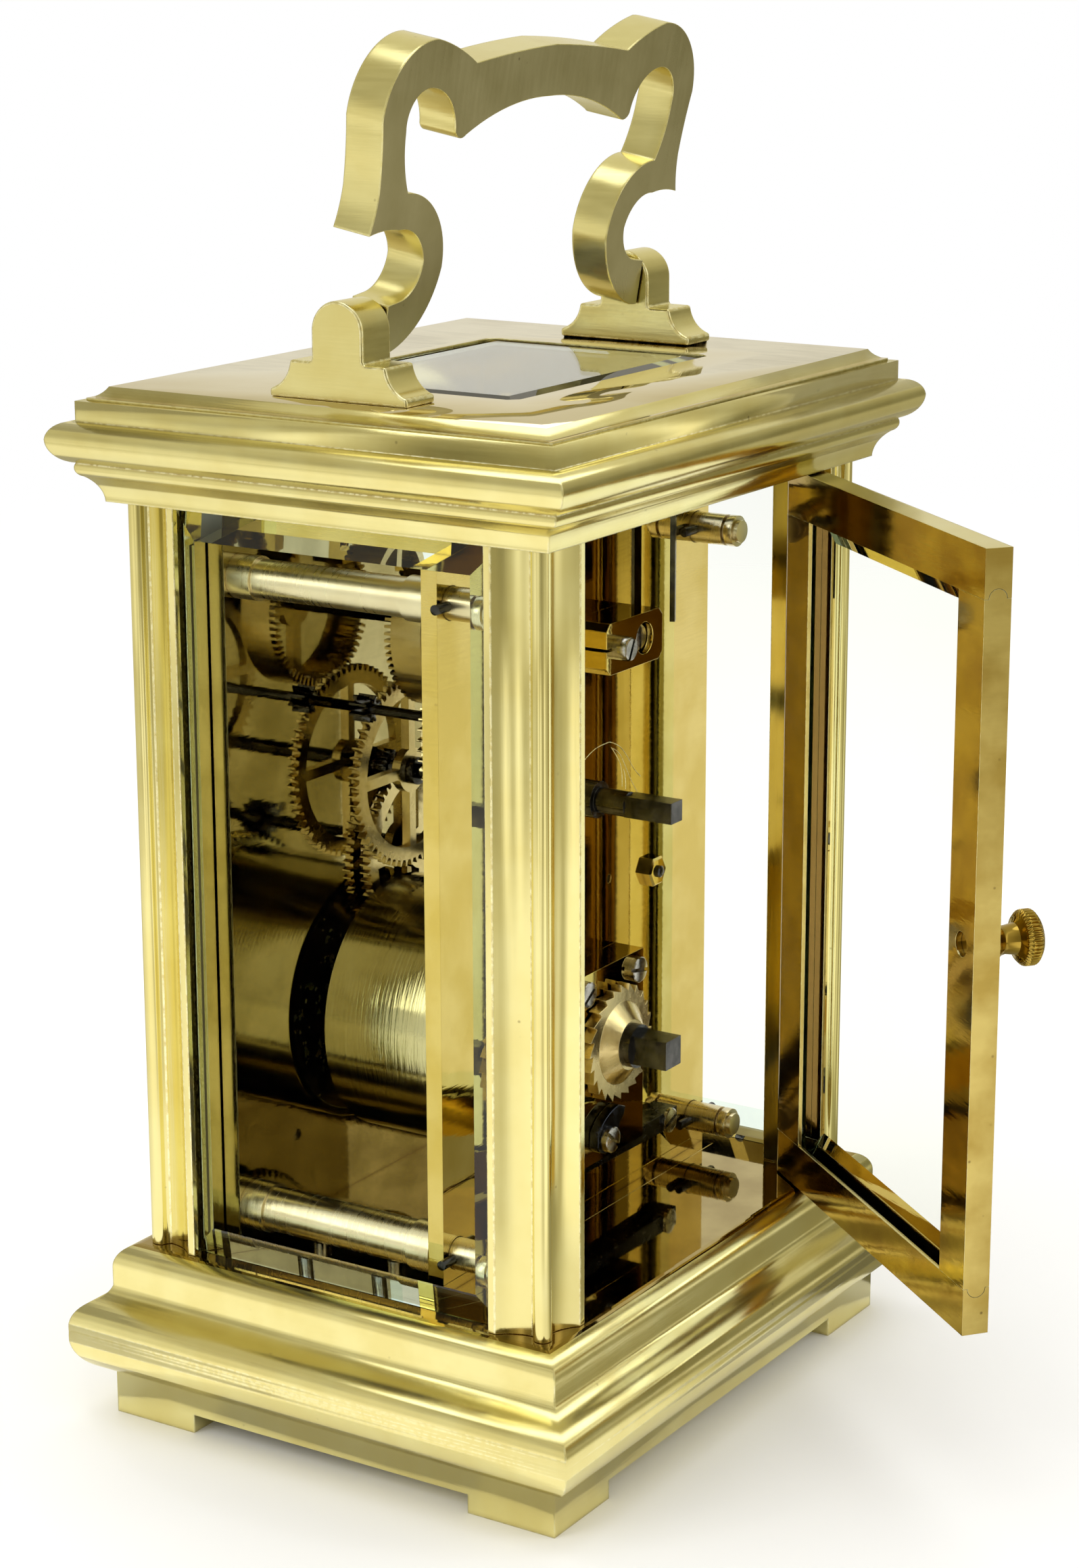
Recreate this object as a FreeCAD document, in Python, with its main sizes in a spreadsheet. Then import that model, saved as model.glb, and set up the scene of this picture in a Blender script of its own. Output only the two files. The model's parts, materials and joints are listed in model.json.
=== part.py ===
import FreeCAD, Part
import math
import operator
import os
import types
import Sketcher

document = FreeCAD.newDocument("CarriageClock")
sheet = document.addObject("Spreadsheet::Sheet", "Sizes")
vector = FreeCAD.Vector

# Driving sizes: millimetres, degrees for angles and plain counts for teeth
numbers = {
    # case over the flat faces of its columns, bottom to top
    "case_width": 67.84,
    "case_depth": 54.19,
    "base_height": 20.2,
    "cornice_height": 10.9,
    "lid_thickness": 1.4,
    # base moulding, each reach counted out from the column face
    "foot_reach": 2.38,
    "foot_band": 5.2,
    "swell_reach": 6.1,
    "swell_height": 10.3,
    "shoulder_reach": 4.4,
    "shoulder_height": 13.6,
    "neck_reach": 2.42,
    "neck_bottom": 15.45,
    "neck_top": 17.7,
    "foot_length": 11.0,
    "foot_opening": 2.2,
    "base_wall": 1.5,
    "base_roof": 3.6,
    "floor_thickness": 1.6,
    "floor_margin": 0.2,
    "floor_lip": 2.6,
    "floor_tail": 1.6,
    "floor_ledge": 1.0,
    # cornice and lid mouldings
    "cornice_foot_reach": 0.84,
    "cove_reach": 2.4,
    "cove_height": 2.8,
    "bead_reach": 2.97,
    "bead_height": 4.3,
    "crown_reach": 5.3,
    "crown_height": 6.9,
    "crown_top_reach": 2.9,
    "crown_top_height": 8.7,
    "cornice_wall": 6.5,
    "lid_reach": 2.0,
    "lid_edge": 0.3,
    "lid_step": 0.3,
    "lid_top_reach": 0.3,
    "window_width": 40.6,
    "window_depth": 29.6,
    "window_corner": 1.0,
    "window_lap": 1.2,
    # columns and panes
    "column_side": 7.5,
    "column_strip": 0.9,
    "hollow_depth": 1.7,
    "hollow_end": 2.9,
    "nose_near": 1.0,
    "nose_far": 2.4,
    "spigot_radius": 1.3,
    "spigot_length": 3.0,
    "spigot_inset": 4.3,
    "screw_radius": 1.0,
    "screw_grip": 8.0,
    "screw_head_radius": 2.0,
    "screw_head_height": 1.6,
    "seat_head_radius": 1.4,
    "pane_thickness": 2.0,
    "pane_inset": 0.9,
    "pane_lap": 1.4,
    "bevel_width": 3.5,
    "bevel_depth": 0.9,
    "fit": 0.05,
    # carrying handle and its lugs
    "lug_inset": 8.12,
    "lug_thickness": 5.2,
    "lug_length": 17.2,
    "lug_toe": 0.9,
    "lug_step": 4.0,
    "lug_step_length": 12.0,
    "cheek_radius": 3.2,
    "pivot_rise": 7.15,
    "handle_pin_radius": 1.0,
    "handle_pin_bite": 3.2,
    "handle_gap": 0.3,
    "handle_thickness": 4.6,
    "handle_lean": 10.0,
    "handle_crown": 28.55,
    "handle_lobe": 30.0,
    "handle_flare": 5.0,
    "handle_arch": 23.0,
    # rear door
    "door_angle": 51.0,
    "door_thickness": 3.0,
    "door_gap": 0.25,
    "door_setback": 1.4,
    "rail_height": 5.2,
    "stile_width": 6.0,
    "tongue_radius": 1.0,
    "door_pin_radius": 0.7,
    "door_pin_length": 3.6,
    "door_pin_bite": 1.8,
    "knob_height": 42.4,
    "knob_radius": 3.0,
    "knob_reach": 5.5,
    "knob_neck": 1.3,
    "knob_flange": 2.3,
    "knob_waist": 1.5,
    "knob_disc": 2.0,
    "knob_sink": 0.7,
    # movement frame
    "plate_margin": 5.72,
    "plate_rise": 30.4,
    "plate_headroom": 4.7,
    "plate_thickness": 2.0,
    "plate_setback": 7.695,
    "rear_room": 16.895,
    "pillar_inset": 2.7,
    "pillar_low": 4.1,
    "pillar_drop": 3.8,
    "pillar_radius": 2.15,
    "low_pillar_radius": 2.55,
    "pillar_collar_step": 0.3,
    "pillar_collar_length": 3.0,
    "pillar_tenon": 1.8,
    "pillar_tail": 6.0,
    "tail_cap": 1.0,
    "tail_groove": 0.4,
    "tail_tip": 0.5,
    "taper_pin_radius": 0.55,
    "taper_pin_length": 8.0,
    # train: counts, and places from the height of the hands above the floor
    "centre_height": 49.8,
    "barrel_drop": 28.0,
    "great_share": 0.643,
    "slow_share": 0.45,
    "mesh_drop": 4.0,
    "contrate_share": 0.332,
    "third_share": 0.51,
    "third_lean": 0.482,
    "great_teeth": 80,
    "intermediate_leaves": 10,
    "intermediate_teeth": 72,
    "centre_leaves": 12,
    "centre_teeth": 64,
    "third_leaves": 8,
    "third_teeth": 60,
    "contrate_leaves": 8,
    "contrate_teeth": 70,
    "escape_leaves": 7,
    "wheel_thickness": 1.1,
    "hub_radius": 2.6,
    "rim_width": 1.5,
    "spoke_width": 1.2,
    "drum_step": 1.0,
    "drum_front": 2.5,
    "drum_shake": 2.7,
    "drum_wall": 1.0,
    "great_thickness": 2.0,
    "barrel_arbor_radius": 2.2,
    "barrel_core_radius": 4.5,
    "spring_slack": 0.5,
    "centre_arbor_radius": 0.9,
    "train_arbor_radius": 0.6,
    "pivot_radius": 0.45,
    "pivot_length": 1.6,
    "winding_square": 3.3,
    "winding_reach": 12.2,
    "winding_collar": 2.5,
    "winding_collar_length": 1.0,
    "setting_square": 2.4,
    "setting_reach": 12.4,
    "setting_shaft": 6.4,
    "bridge_thickness": 3.8,
    "bridge_width": 15.0,
    "bridge_rise": 9.0,
    "bridge_screw_inset": 2.0,
    "bridge_drop": 13.8,
    "ratchet_teeth": 24,
    "ratchet_radius": 6.8,
    "ratchet_depth": 0.8,
    "ratchet_thickness": 1.4,
    "ratchet_hub_foot": 4.8,
    "ratchet_hub_top": 2.9,
    "ratchet_hub_rise": 1.4,
    "click_thickness": 1.2,
    "click_across": 2.5,
    "click_drop": 10.8,
    "bar_gap": 0.4,
    "bar_height": 2.4,
    "bar_inset": 11.0,
    "nut_inset": 12.8,
    "nut_drop": 12.3,
    "nut_radius": 1.9,
    "nut_height": 1.1,
    "stud_rise": 1.6,
    "flush_head": 0.4,
    "block_width": 12.0,
    "block_height": 5.8,
    "block_thickness": 4.8,
    "block_across": 3.6,
    "block_screw_across": 5.7,
    "block_sink": 1.8,
    "block_sink_depth": 1.5,
    "block_slit": 0.3,
    "end_screw_head": 1.35,
    "end_screw_rise": 1.8,
    "end_screw_grip": 2.6,
    "small_screw_radius": 0.7,
    "small_head_radius": 1.5,
    "small_head_height": 0.9,
    # platform escapement
    "platform_width": 42.0,
    "platform_thickness": 1.5,
    "deck_screw_inset": 2.0,
    "deck_head_radius": 1.2,
    "escape_radius": 3.3,
    "escape_tooth": 0.9,
    "lever_distance": 3.9,
    "balance_distance": 6.3,
    "lever_angle": 148.0,
    "balance_radius": 7.2,
    "balance_rim": 0.9,
    "spring_gauge": 0.1,
    "spring_pitch": 0.6,
    "cock_thickness": 1.2,
    "cock_half": 1.6,
    "cock_foot_half": 2.4,
    "lower_cock_half": 1.2,
    "lower_cock_front": 4.6,
    "lower_cock_back": 8.4,
    "lower_cock_foot": 3.8,
    "index_ring": 2.3,
    "balance_height": 1.0,
    "balance_arm": 0.6,
    "pointer_gap": 2.7,
    "index_angle": 112.5,
    "index_drop": 23.8,
    # dial and hands
    "dial_side_gap": 0.32,
    "dial_end_gap": 0.45,
    "dial_foot_inset": 6.1,
    "dial_foot_rise": 20.0,
    "dial_foot_drop": 38.0,
    "dial_thickness": 0.8,
    "dial_gap": 2.5,
    "cannon_leaves": 12,
    "minute_teeth": 36,
    "cannon_module": 0.25,
    "minute_leaves": 10,
    "hour_teeth": 40,
    "hour_module": 0.24,
    "minute_hand_length": 17.5,
    "hour_hand_length": 11.5,
    "hand_thickness": 0.25,
    "minute_hand_angle": 60.0,
    "hour_hand_angle": 305.0,
}
for row, (name, number) in enumerate(numbers.items(), start=1):
    sheet.set(f"A{row}", name)
    sheet.set(f"B{row}", str(number))
    sheet.setAlias(f"B{row}", name)
document.recompute()

signs = {
    "+": operator.add,
    "-": operator.sub,
    "*": operator.mul,
    "/": operator.truediv,
}


# A number that keeps the sheet formula it came from
class Size:
    def __init__(self, value, formula):
        self.value = value
        self.formula = formula

    def __add__(self, other):
        return combine(self, "+", other)

    def __radd__(self, other):
        return combine(other, "+", self)

    def __sub__(self, other):
        return combine(self, "-", other)

    def __rsub__(self, other):
        return combine(other, "-", self)

    def __mul__(self, other):
        return combine(self, "*", other)

    def __rmul__(self, other):
        return combine(other, "*", self)

    def __truediv__(self, other):
        return combine(self, "/", other)

    def __neg__(self):
        return combine(0, "-", self)


def as_size(number):
    if isinstance(number, Size):
        return number
    return Size(float(number), f"({float(number)})")


def combine(first, sign, second):
    first = as_size(first)
    second = as_size(second)
    value = signs[sign](first.value, second.value)
    return Size(value, f"({first.formula} {sign} {second.formula})")


def root(squares):
    return Size(math.sqrt(squares.value), f"sqrt({squares.formula})")


def leg(long_side, other_side):
    return root(long_side * long_side - other_side * other_side)


def slant(first_side, second_side):
    return root(first_side * first_side + second_side * second_side)


size = types.SimpleNamespace()
for name, number in numbers.items():
    setattr(size, name, Size(number, f"Sizes.{name}"))

# Sizes that follow from the driving ones, so that the movement and the case keep together
size.plate_height = size.centre_height + size.plate_rise
size.column_height = size.plate_height + size.plate_headroom
size.plate_width = size.case_width - size.plate_margin * 2
size.plate_front = size.case_depth / 2 - size.plate_setback
size.plate_back = size.case_depth / 2 - size.rear_room
size.plate_spacing = size.plate_front + size.plate_back - size.plate_thickness * 2
size.pillar_across = size.plate_width - size.pillar_inset * 2
size.barrel_height = size.centre_height - size.barrel_drop
size.dial_width = size.case_width - (size.column_side + size.dial_side_gap) * 2
size.dial_height = size.column_height - size.dial_end_gap * 2
size.lug_inner = size.case_width / 2 - size.lug_inset
corner_lap = size.window_lap + size.window_corner / 2
bevel_left = size.bevel_depth - size.bevel_depth * corner_lap / size.bevel_width
size.window_rebate = size.lid_thickness - bevel_left + size.fit
size.floor_width = size.plate_width - size.floor_margin * 2
size.floor_front = size.plate_front + size.floor_lip
size.floor_back = size.plate_back + size.floor_tail

axis_x = vector(1, 0, 0)
axis_y = vector(0, 1, 0)
axis_z = vector(0, 0, 1)
nodes = {}


def bind(feature, **values):
    for name, value in values.items():
        value = as_size(value)
        setattr(feature, name, value.value)
        feature.setExpression(name, value.formula)


def place(feature, x=0, y=0, z=0, axis=axis_z, angle=0):
    spot = [as_size(x), as_size(y), as_size(z)]
    angle = as_size(angle)
    turn = FreeCAD.Rotation(axis, angle.value)
    feature.Placement = FreeCAD.Placement(vector(*[value.value for value in spot]), turn)
    for letter, value in zip("xyz", spot):
        feature.setExpression(f"Placement.Base.{letter}", value.formula)
    if angle.value:
        feature.setExpression("Placement.Rotation.Angle", angle.formula)
    return feature


def keep(label, feature):
    feature.Label = label
    nodes[label] = feature
    return feature


# Sketches: a corner is (x, y) or (x, y, bulge), the bulge bending the side that leaves it
def pin_point(rules, curve, end, x, y):
    for kind, value, line in (("DistanceX", x, -2), ("DistanceY", y, -1)):
        if abs(value.value) < 1e-9:
            rules.append((Sketcher.Constraint("PointOnObject", curve, end, line), None))
        else:
            rules.append((Sketcher.Constraint(kind, -1, 1, curve, end, value.value), value.formula))


def draw_loop(sketch, rules, corners):
    corners = [[as_size(value) for value in corner] for corner in corners]
    sides = []
    for corner, following in zip(corners, corners[1:] + corners[:1]):
        start = vector(corner[0].value, corner[1].value, 0)
        end = vector(following[0].value, following[1].value, 0)
        if len(corner) == 3 and corner[2].value:
            bulge = corner[2].value
            via_x = (corner[0] + following[0]) / 2 + (following[1] - corner[1]) * bulge
            via_y = (corner[1] + following[1]) / 2 - (following[0] - corner[0]) * bulge
            via = vector(via_x.value, via_y.value, 0)
            side = sketch.addGeometry(Part.Arc(start, via, end))
            point = sketch.addGeometry(Part.Point(via), True)
            rules.append((Sketcher.Constraint("PointOnObject", point, 1, side), None))
            pin_point(rules, point, 1, via_x, via_y)
        else:
            side = sketch.addGeometry(Part.LineSegment(start, end))
        first = 1 if (sketch.getPoint(side, 1) - start).Length < 1e-6 else 2
        pin_point(rules, side, first, corner[0], corner[1])
        sides.append((side, first))
    for (side, first), (follower, follower_first) in zip(sides, sides[1:] + sides[:1]):
        joint = Sketcher.Constraint("Coincident", side, 3 - first, follower, follower_first)
        rules.append((joint, None))


def draw_circle(sketch, rules, x, y, radius):
    x, y, radius = as_size(x), as_size(y), as_size(radius)
    circle = sketch.addGeometry(Part.Circle(vector(x.value, y.value, 0), axis_z, radius.value))
    pin_point(rules, circle, 3, x, y)
    rules.append((Sketcher.Constraint("Radius", circle, radius.value), radius.formula))


def sketch_on(body, plane, loops=(), circles=()):
    sketch = body.newObject("Sketcher::SketchObject", f"{body.Name}Sketch")
    support = [item for item in body.Origin.OriginFeatures if item.Role == plane][0]
    sketch.AttachmentSupport = [(support, "")]
    sketch.MapMode = "FlatFace"
    rules = []
    for loop in loops:
        draw_loop(sketch, rules, loop)
    for circle in circles:
        draw_circle(sketch, rules, *circle)
    sketch.addConstraint([rule for rule, formula in rules])
    for index, (rule, formula) in enumerate(rules):
        if formula:
            sketch.setExpression(f"Constraints[{index}]", formula)
    return sketch


def new_body(name):
    return document.addObject("PartDesign::Body", name)


def pad(body, sketch, length, symmetric=False, turned_over=False):
    feature = body.newObject("PartDesign::Pad", f"{body.Name}Pad")
    feature.Profile = sketch
    feature.SideType = "Symmetric" if symmetric else "One side"
    feature.Reversed = turned_over
    bind(feature, Length=length)


def pocket(body, sketch, length=None, symmetric=False, turned_over=False):
    feature = body.newObject("PartDesign::Pocket", f"{body.Name}Pocket")
    feature.Profile = sketch
    feature.SideType = "Symmetric" if symmetric else "One side"
    feature.Reversed = turned_over
    if length is None:
        feature.Type = "ThroughAll"
    else:
        bind(feature, Length=length)


def rectangle(left, right, bottom, top):
    return [(left, bottom), (right, bottom), (right, top), (left, top)]


# A piece turned about the Y axis from (start, end, radius) steps, or about Z if upright
def turned(name, steps, upright=False):
    body = new_body(name)
    corners = [(0, steps[0][0])]
    for start, end, radius in steps:
        corners += [(radius, start), (radius, end)]
    corners.append((0, steps[-1][1]))
    sketch = sketch_on(body, "XZ_Plane" if upright else "XY_Plane", [corners])
    feature = body.newObject("PartDesign::Revolution", f"{name}Revolution")
    feature.Profile = sketch
    feature.ReferenceAxis = (sketch, ["V_Axis"])
    feature.Angle = 360
    return body


def block(name, low, high):
    feature = document.addObject("Part::Box", name)
    bind(feature, Length=high[0] - low[0], Width=high[1] - low[1], Height=high[2] - low[2])
    return place(feature, *low)


def rod(name, radius, length, x, y, z, along="z"):
    feature = document.addObject("Part::Cylinder", name)
    bind(feature, Radius=radius, Height=length)
    turns = {"x": (axis_y, 90), "y": (axis_x, -90), "z": (axis_z, 0)}
    return place(feature, x, y, z, *turns[along])


def joined(name, pieces):
    feature = document.addObject("Part::MultiFuse", name)
    feature.Shapes = pieces
    feature.Refine = True
    return feature


def group(name, pieces):
    feature = document.addObject("Part::Compound", name)
    feature.Links = pieces
    return feature


def cut(name, base, tools):
    feature = document.addObject("Part::Cut", name)
    feature.Base = base
    feature.Tool = tools[0] if len(tools) == 1 else group(f"{name}Tools", tools)
    return feature


# Levels and half sizes that many pieces share
half_width = size.case_width / 2
half_depth = size.case_depth / 2
floor_top = size.base_height
column_top = floor_top + size.column_height
cornice_top = column_top + size.cornice_height
lid_top = cornice_top + size.lid_thickness
opening_half_width = half_width - size.column_side
opening_half_depth = half_depth - size.column_side
corners_of_case = [(1, 1), (-1, 1), (-1, -1), (1, -1)]
spigot_x = half_width - size.spigot_inset
spigot_y = half_depth - size.spigot_inset
spigots = [(x * spigot_x, y * spigot_y) for x, y in corners_of_case]
door_pivot_x = -opening_half_width + size.door_gap + size.door_thickness / 2
door_pivot_y = half_depth - size.door_setback - size.door_thickness / 2


# Base, cornice and lid: one moulding profile run round all four sides
def silhouette(profile, half):
    right = [(half + reach, height, bulge) for reach, height, bulge in profile]
    bulges = [0] + [bulge for reach, height, bulge in profile[:-1]]
    left = [(-x, z, bulge) for (x, z, ignored), bulge in zip(right, bulges)]
    return right + left[::-1]


def moulding(name, profile, reach, height):
    body = new_body(name)
    front = sketch_on(body, "XZ_Plane", [silhouette(profile, half_width)])
    pad(body, front, size.case_depth + reach * 2, symmetric=True)
    outside = rectangle(-half_depth - reach * 2, half_depth + reach * 2, -reach, height + reach)
    side = sketch_on(body, "YZ_Plane", [outside, silhouette(profile, half_depth)])
    pocket(body, side, symmetric=True)
    return body


base_profile = [
    (size.foot_reach, 0, 0),
    (size.foot_reach, size.foot_band, 0.2),
    (size.swell_reach, size.swell_height, 0.16),
    (size.shoulder_reach, size.shoulder_height, -0.12),
    (size.neck_reach, size.neck_bottom, 0),
    (size.neck_reach, size.neck_top, 0.2),
    (0, size.base_height, 0),
]
base = moulding("BasePlinth", base_profile, size.swell_reach, size.base_height)
hollow_x = half_width - size.base_wall
hollow_y = half_depth - size.base_wall
hollow = rectangle(-hollow_x, hollow_x, -hollow_y, hollow_y)
pocket(base, sketch_on(base, "XY_Plane", [hollow]), size.base_height - size.base_roof, turned_over=True)
floor_half = size.floor_width / 2
ledge = size.floor_ledge
seat = rectangle(-floor_half + ledge, floor_half - ledge, -size.floor_front + ledge, size.floor_back - ledge)
pocket(base, sketch_on(base, "XY_Plane", [seat]), turned_over=True)
foot_x = half_width + size.foot_reach - size.foot_length
foot_y = half_depth + size.foot_reach - size.foot_length
front_gap = rectangle(-foot_x, foot_x, -size.foot_opening, size.foot_opening)
pocket(base, sketch_on(base, "XZ_Plane", [front_gap]), symmetric=True)
side_gap = rectangle(-foot_y, foot_y, -size.foot_opening, size.foot_opening)
pocket(base, sketch_on(base, "YZ_Plane", [side_gap]), symmetric=True)
screw_holes = [(x, y, size.screw_radius + size.fit) for x, y in spigots]
pocket(base, sketch_on(base, "XY_Plane", circles=screw_holes), turned_over=True)
rebate = block(
    "FloorRebate",
    (-floor_half - size.fit, -size.floor_front - size.fit, floor_top - size.floor_thickness),
    (floor_half + size.fit, size.floor_back + size.fit, floor_top + size.floor_thickness),
)
low_hole_start = floor_top - size.door_pin_length + size.door_pin_bite
low_hole = rod(
    "LowHingeHole",
    size.door_pin_radius + size.fit,
    size.door_pin_length,
    door_pivot_x,
    door_pivot_y,
    low_hole_start,
)
keep("base_plinth", cut("BaseCut", base, [rebate, low_hole]))

seat_screws = [(side * size.pillar_across / 2, y) for side in (-1, 1) for y in (-8, 2)]
floor = new_body("BaseFloor")
floor_outline = rectangle(-floor_half, floor_half, -size.floor_front, size.floor_back)
floor_holes = [(x, y, size.screw_radius + size.fit) for x, y in seat_screws]
pad(floor, sketch_on(floor, "XY_Plane", [floor_outline], floor_holes), size.floor_thickness)
keep("base_floor", place(floor, z=floor_top - size.floor_thickness))

cornice_profile = [
    (size.cornice_foot_reach, 0, -0.12),
    (size.cove_reach, size.cove_height, 0.25),
    (size.bead_reach, size.bead_height, 0.18),
    (size.crown_reach, size.crown_height, 0.22),
    (size.crown_top_reach, size.crown_top_height, 0),
    (size.crown_top_reach, size.cornice_height, 0),
]
cornice = moulding("Cornice", cornice_profile, size.crown_reach, size.cornice_height)
well_x = half_width - size.cornice_wall
well_y = half_depth - size.cornice_wall
well = rectangle(-well_x, well_x, -well_y, well_y)
pocket(cornice, sketch_on(cornice, "XY_Plane", [well]), turned_over=True)
spigot_holes = [(x, y, size.spigot_radius + size.fit) for x, y in spigots]
hinge_hole = [(door_pivot_x, door_pivot_y, size.door_pin_radius + size.fit)]
pin_holes = sketch_on(cornice, "XY_Plane", circles=spigot_holes + hinge_hole)
pocket(cornice, pin_holes, size.spigot_length + size.fit, turned_over=True)
keep("cornice", place(cornice, z=column_top))

lid_profile = [
    (size.lid_reach, 0, 0),
    (size.lid_reach, size.lid_edge, 0),
    (size.lid_reach - size.lid_step, size.lid_edge, -0.1),
    (size.lid_top_reach, size.lid_thickness, 0),
]
lid = moulding("TopPlate", lid_profile, size.lid_reach, size.lid_thickness)
window_x = size.window_width / 2
window_y = size.window_depth / 2
corner = size.window_corner
window = [
    (window_x - corner, -window_y),
    (window_x, corner - window_y),
    (window_x, window_y - corner),
    (window_x - corner, window_y),
    (corner - window_x, window_y),
    (-window_x, window_y - corner),
    (-window_x, corner - window_y),
    (corner - window_x, -window_y),
]
pocket(lid, sketch_on(lid, "XY_Plane", [window]), turned_over=True)
lap_x = window_x + size.window_lap
lap_y = window_y + size.window_lap
lap = rectangle(-lap_x - size.fit, lap_x + size.fit, -lap_y - size.fit, lap_y + size.fit)
pocket(lid, sketch_on(lid, "XY_Plane", [lap]), size.window_rebate, turned_over=True)
keep("top_plate", place(lid, z=cornice_top))


# Panes: a flat slab with a bevelled border on its outer side, standing in its own XZ plane
def pane(name, width, height):
    flat = size.pane_thickness - size.bevel_depth
    slab = block(f"{name}Slab", (-width / 2, as_size(0), as_size(0)), (width / 2, flat, height))
    border = document.addObject("Part::Wedge", f"{name}Border")
    bind(border, Xmin=-width / 2, Xmax=width / 2, Zmin=0, Zmax=height)
    bind(border, Ymin=flat, Ymax=size.pane_thickness)
    bind(border, X2min=size.bevel_width - width / 2, X2max=width / 2 - size.bevel_width)
    bind(border, Z2min=size.bevel_width, Z2max=height - size.bevel_width)
    return joined(name, [slab, border])


pane_height = size.column_height - size.fit * 2
front_pane_width = (opening_half_width + size.pane_lap) * 2
side_pane_width = (opening_half_depth + size.pane_lap) * 2
pane_x = half_width - size.pane_inset - size.pane_thickness
pane_y = half_depth - size.pane_inset - size.pane_thickness
pane_z = floor_top + size.fit
front_pane = pane("FrontGlass", front_pane_width, pane_height)
keep("front_glass", place(front_pane, y=-pane_y, z=pane_z, angle=180))
left_pane = pane("LeftGlass", side_pane_width, pane_height)
keep("left_glass", place(left_pane, x=-pane_x, z=pane_z, angle=90))
right_pane = pane("RightGlass", side_pane_width, pane_height)
keep("right_glass", place(right_pane, x=pane_x, z=pane_z, angle=-90))
top_pane = pane("TopGlass", lap_x * 2, lap_y * 2)
top_pane_z = lid_top - size.pane_thickness
keep("top_glass", place(top_pane, y=lap_y, z=top_pane_z, axis=axis_x, angle=90))


# Columns: strip, hollow and corner nose on both outer faces, grooves for the panes
def column_outline(side_x, side_y, front):
    side = size.column_side
    groove_low = size.pane_inset - size.fit
    groove_high = size.pane_inset + size.pane_thickness + size.fit
    groove_floor = side - size.pane_lap - size.fit
    points = [
        (groove_low, side, 0),
        (0, side, 0),
        (0, side - size.column_strip, -0.1),
        (size.hollow_depth, size.hollow_end, -0.1),
        (size.nose_near, size.nose_far, 0.62),
        (size.nose_far, size.nose_near, -0.1),
        (size.hollow_end, size.hollow_depth, -0.1),
        (side - size.column_strip, 0, 0),
        (side, 0, 0),
    ]
    if front:
        points += [(side, groove_low, 0), (groove_floor, groove_low, 0)]
        points += [(groove_floor, groove_high, 0), (side, groove_high, 0)]
    points += [(side, side, 0), (groove_high, side, 0)]
    points += [(groove_high, groove_floor, 0), (groove_low, groove_floor, 0)]
    turn = side_x * side_y
    return [
        (side_x * (half_width - a), side_y * (half_depth - b), bend * turn)
        for a, b, bend in points
    ]


column_names = {
    "column_rear_right": (1, 1),
    "column_rear_left": (-1, 1),
    "column_front_left": (-1, -1),
    "column_front_right": (1, -1),
}
for name, (side_x, side_y) in column_names.items():
    column = new_body(name.title().replace("_", ""))
    outline = column_outline(side_x, side_y, side_y < 0)
    pad(column, sketch_on(column, "XY_Plane", [outline]), size.column_height)
    middle = (side_x * spigot_x, side_y * spigot_y)
    spigot = sketch_on(column, "XY_Plane", circles=[(*middle, size.spigot_radius)])
    pad(column, spigot, size.column_height + size.spigot_length)
    bore = sketch_on(column, "XY_Plane", circles=[(*middle, size.screw_radius + size.fit)])
    pocket(column, bore, size.screw_grip + size.fit, turned_over=True)
    keep(name, place(column, z=floor_top))


# Screws: a head with a shank above it
def upright_screw(name, x, y, seat, grip, head=size.screw_head_radius):
    head_bottom = seat - size.screw_head_height
    steps = [
        (0, size.screw_head_height, head),
        (size.screw_head_height, size.screw_head_height + grip, size.screw_radius),
    ]
    return place(turned(name, steps, upright=True), x, y, head_bottom)


case_screws = []
for index, (x, y) in enumerate(spigots):
    grip = size.base_roof + size.screw_grip
    case_screws.append(upright_screw(f"CaseScrew{index}", x, y, floor_top - size.base_roof, grip))
pillar_bottom = size.pillar_low - size.low_pillar_radius
for index, (x, y) in enumerate(seat_screws):
    grip = size.floor_thickness + pillar_bottom
    floor_bottom = floor_top - size.floor_thickness
    case_screws.append(upright_screw(f"SeatScrew{index}", x, y, floor_bottom, grip, size.seat_head_radius))
keep("case_screws", group("CaseScrews", case_screws))

# Handle lugs on the lid and the bail handle between them
pivot_z = lid_top + size.pivot_rise
for name, side in (("lug_right", 1), ("lug_left", -1)):
    lug = new_body(name.title().replace("_", ""))
    long_half = size.lug_length / 2
    step_half = size.lug_step_length / 2
    cheek = size.cheek_radius
    outline = [
        (-long_half, 0, 0),
        (long_half, 0, 0),
        (long_half, size.lug_toe, -0.16),
        (step_half, size.lug_step, 0),
        (cheek, size.lug_step, 0),
        (cheek, size.pivot_rise, 0.5),
        (-cheek, size.pivot_rise, 0),
        (-cheek, size.lug_step, 0),
        (-step_half, size.lug_step, -0.16),
        (-long_half, size.lug_toe, 0),
    ]
    pad(lug, sketch_on(lug, "YZ_Plane", [outline]), size.lug_thickness)
    start = size.lug_inner if side > 0 else -size.lug_inner - size.lug_thickness
    place(lug, x=start, z=lid_top)
    bore_depth = size.handle_pin_bite + size.fit
    bore_start = size.lug_inner if side > 0 else -size.lug_inner - bore_depth
    bore_radius = size.handle_pin_radius + size.fit
    bore = rod(f"{lug.Name}Bore", bore_radius, bore_depth, bore_start, 0, pivot_z, "x")
    keep(name, cut(f"{lug.Name}Cut", lug, [bore]))

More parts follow.
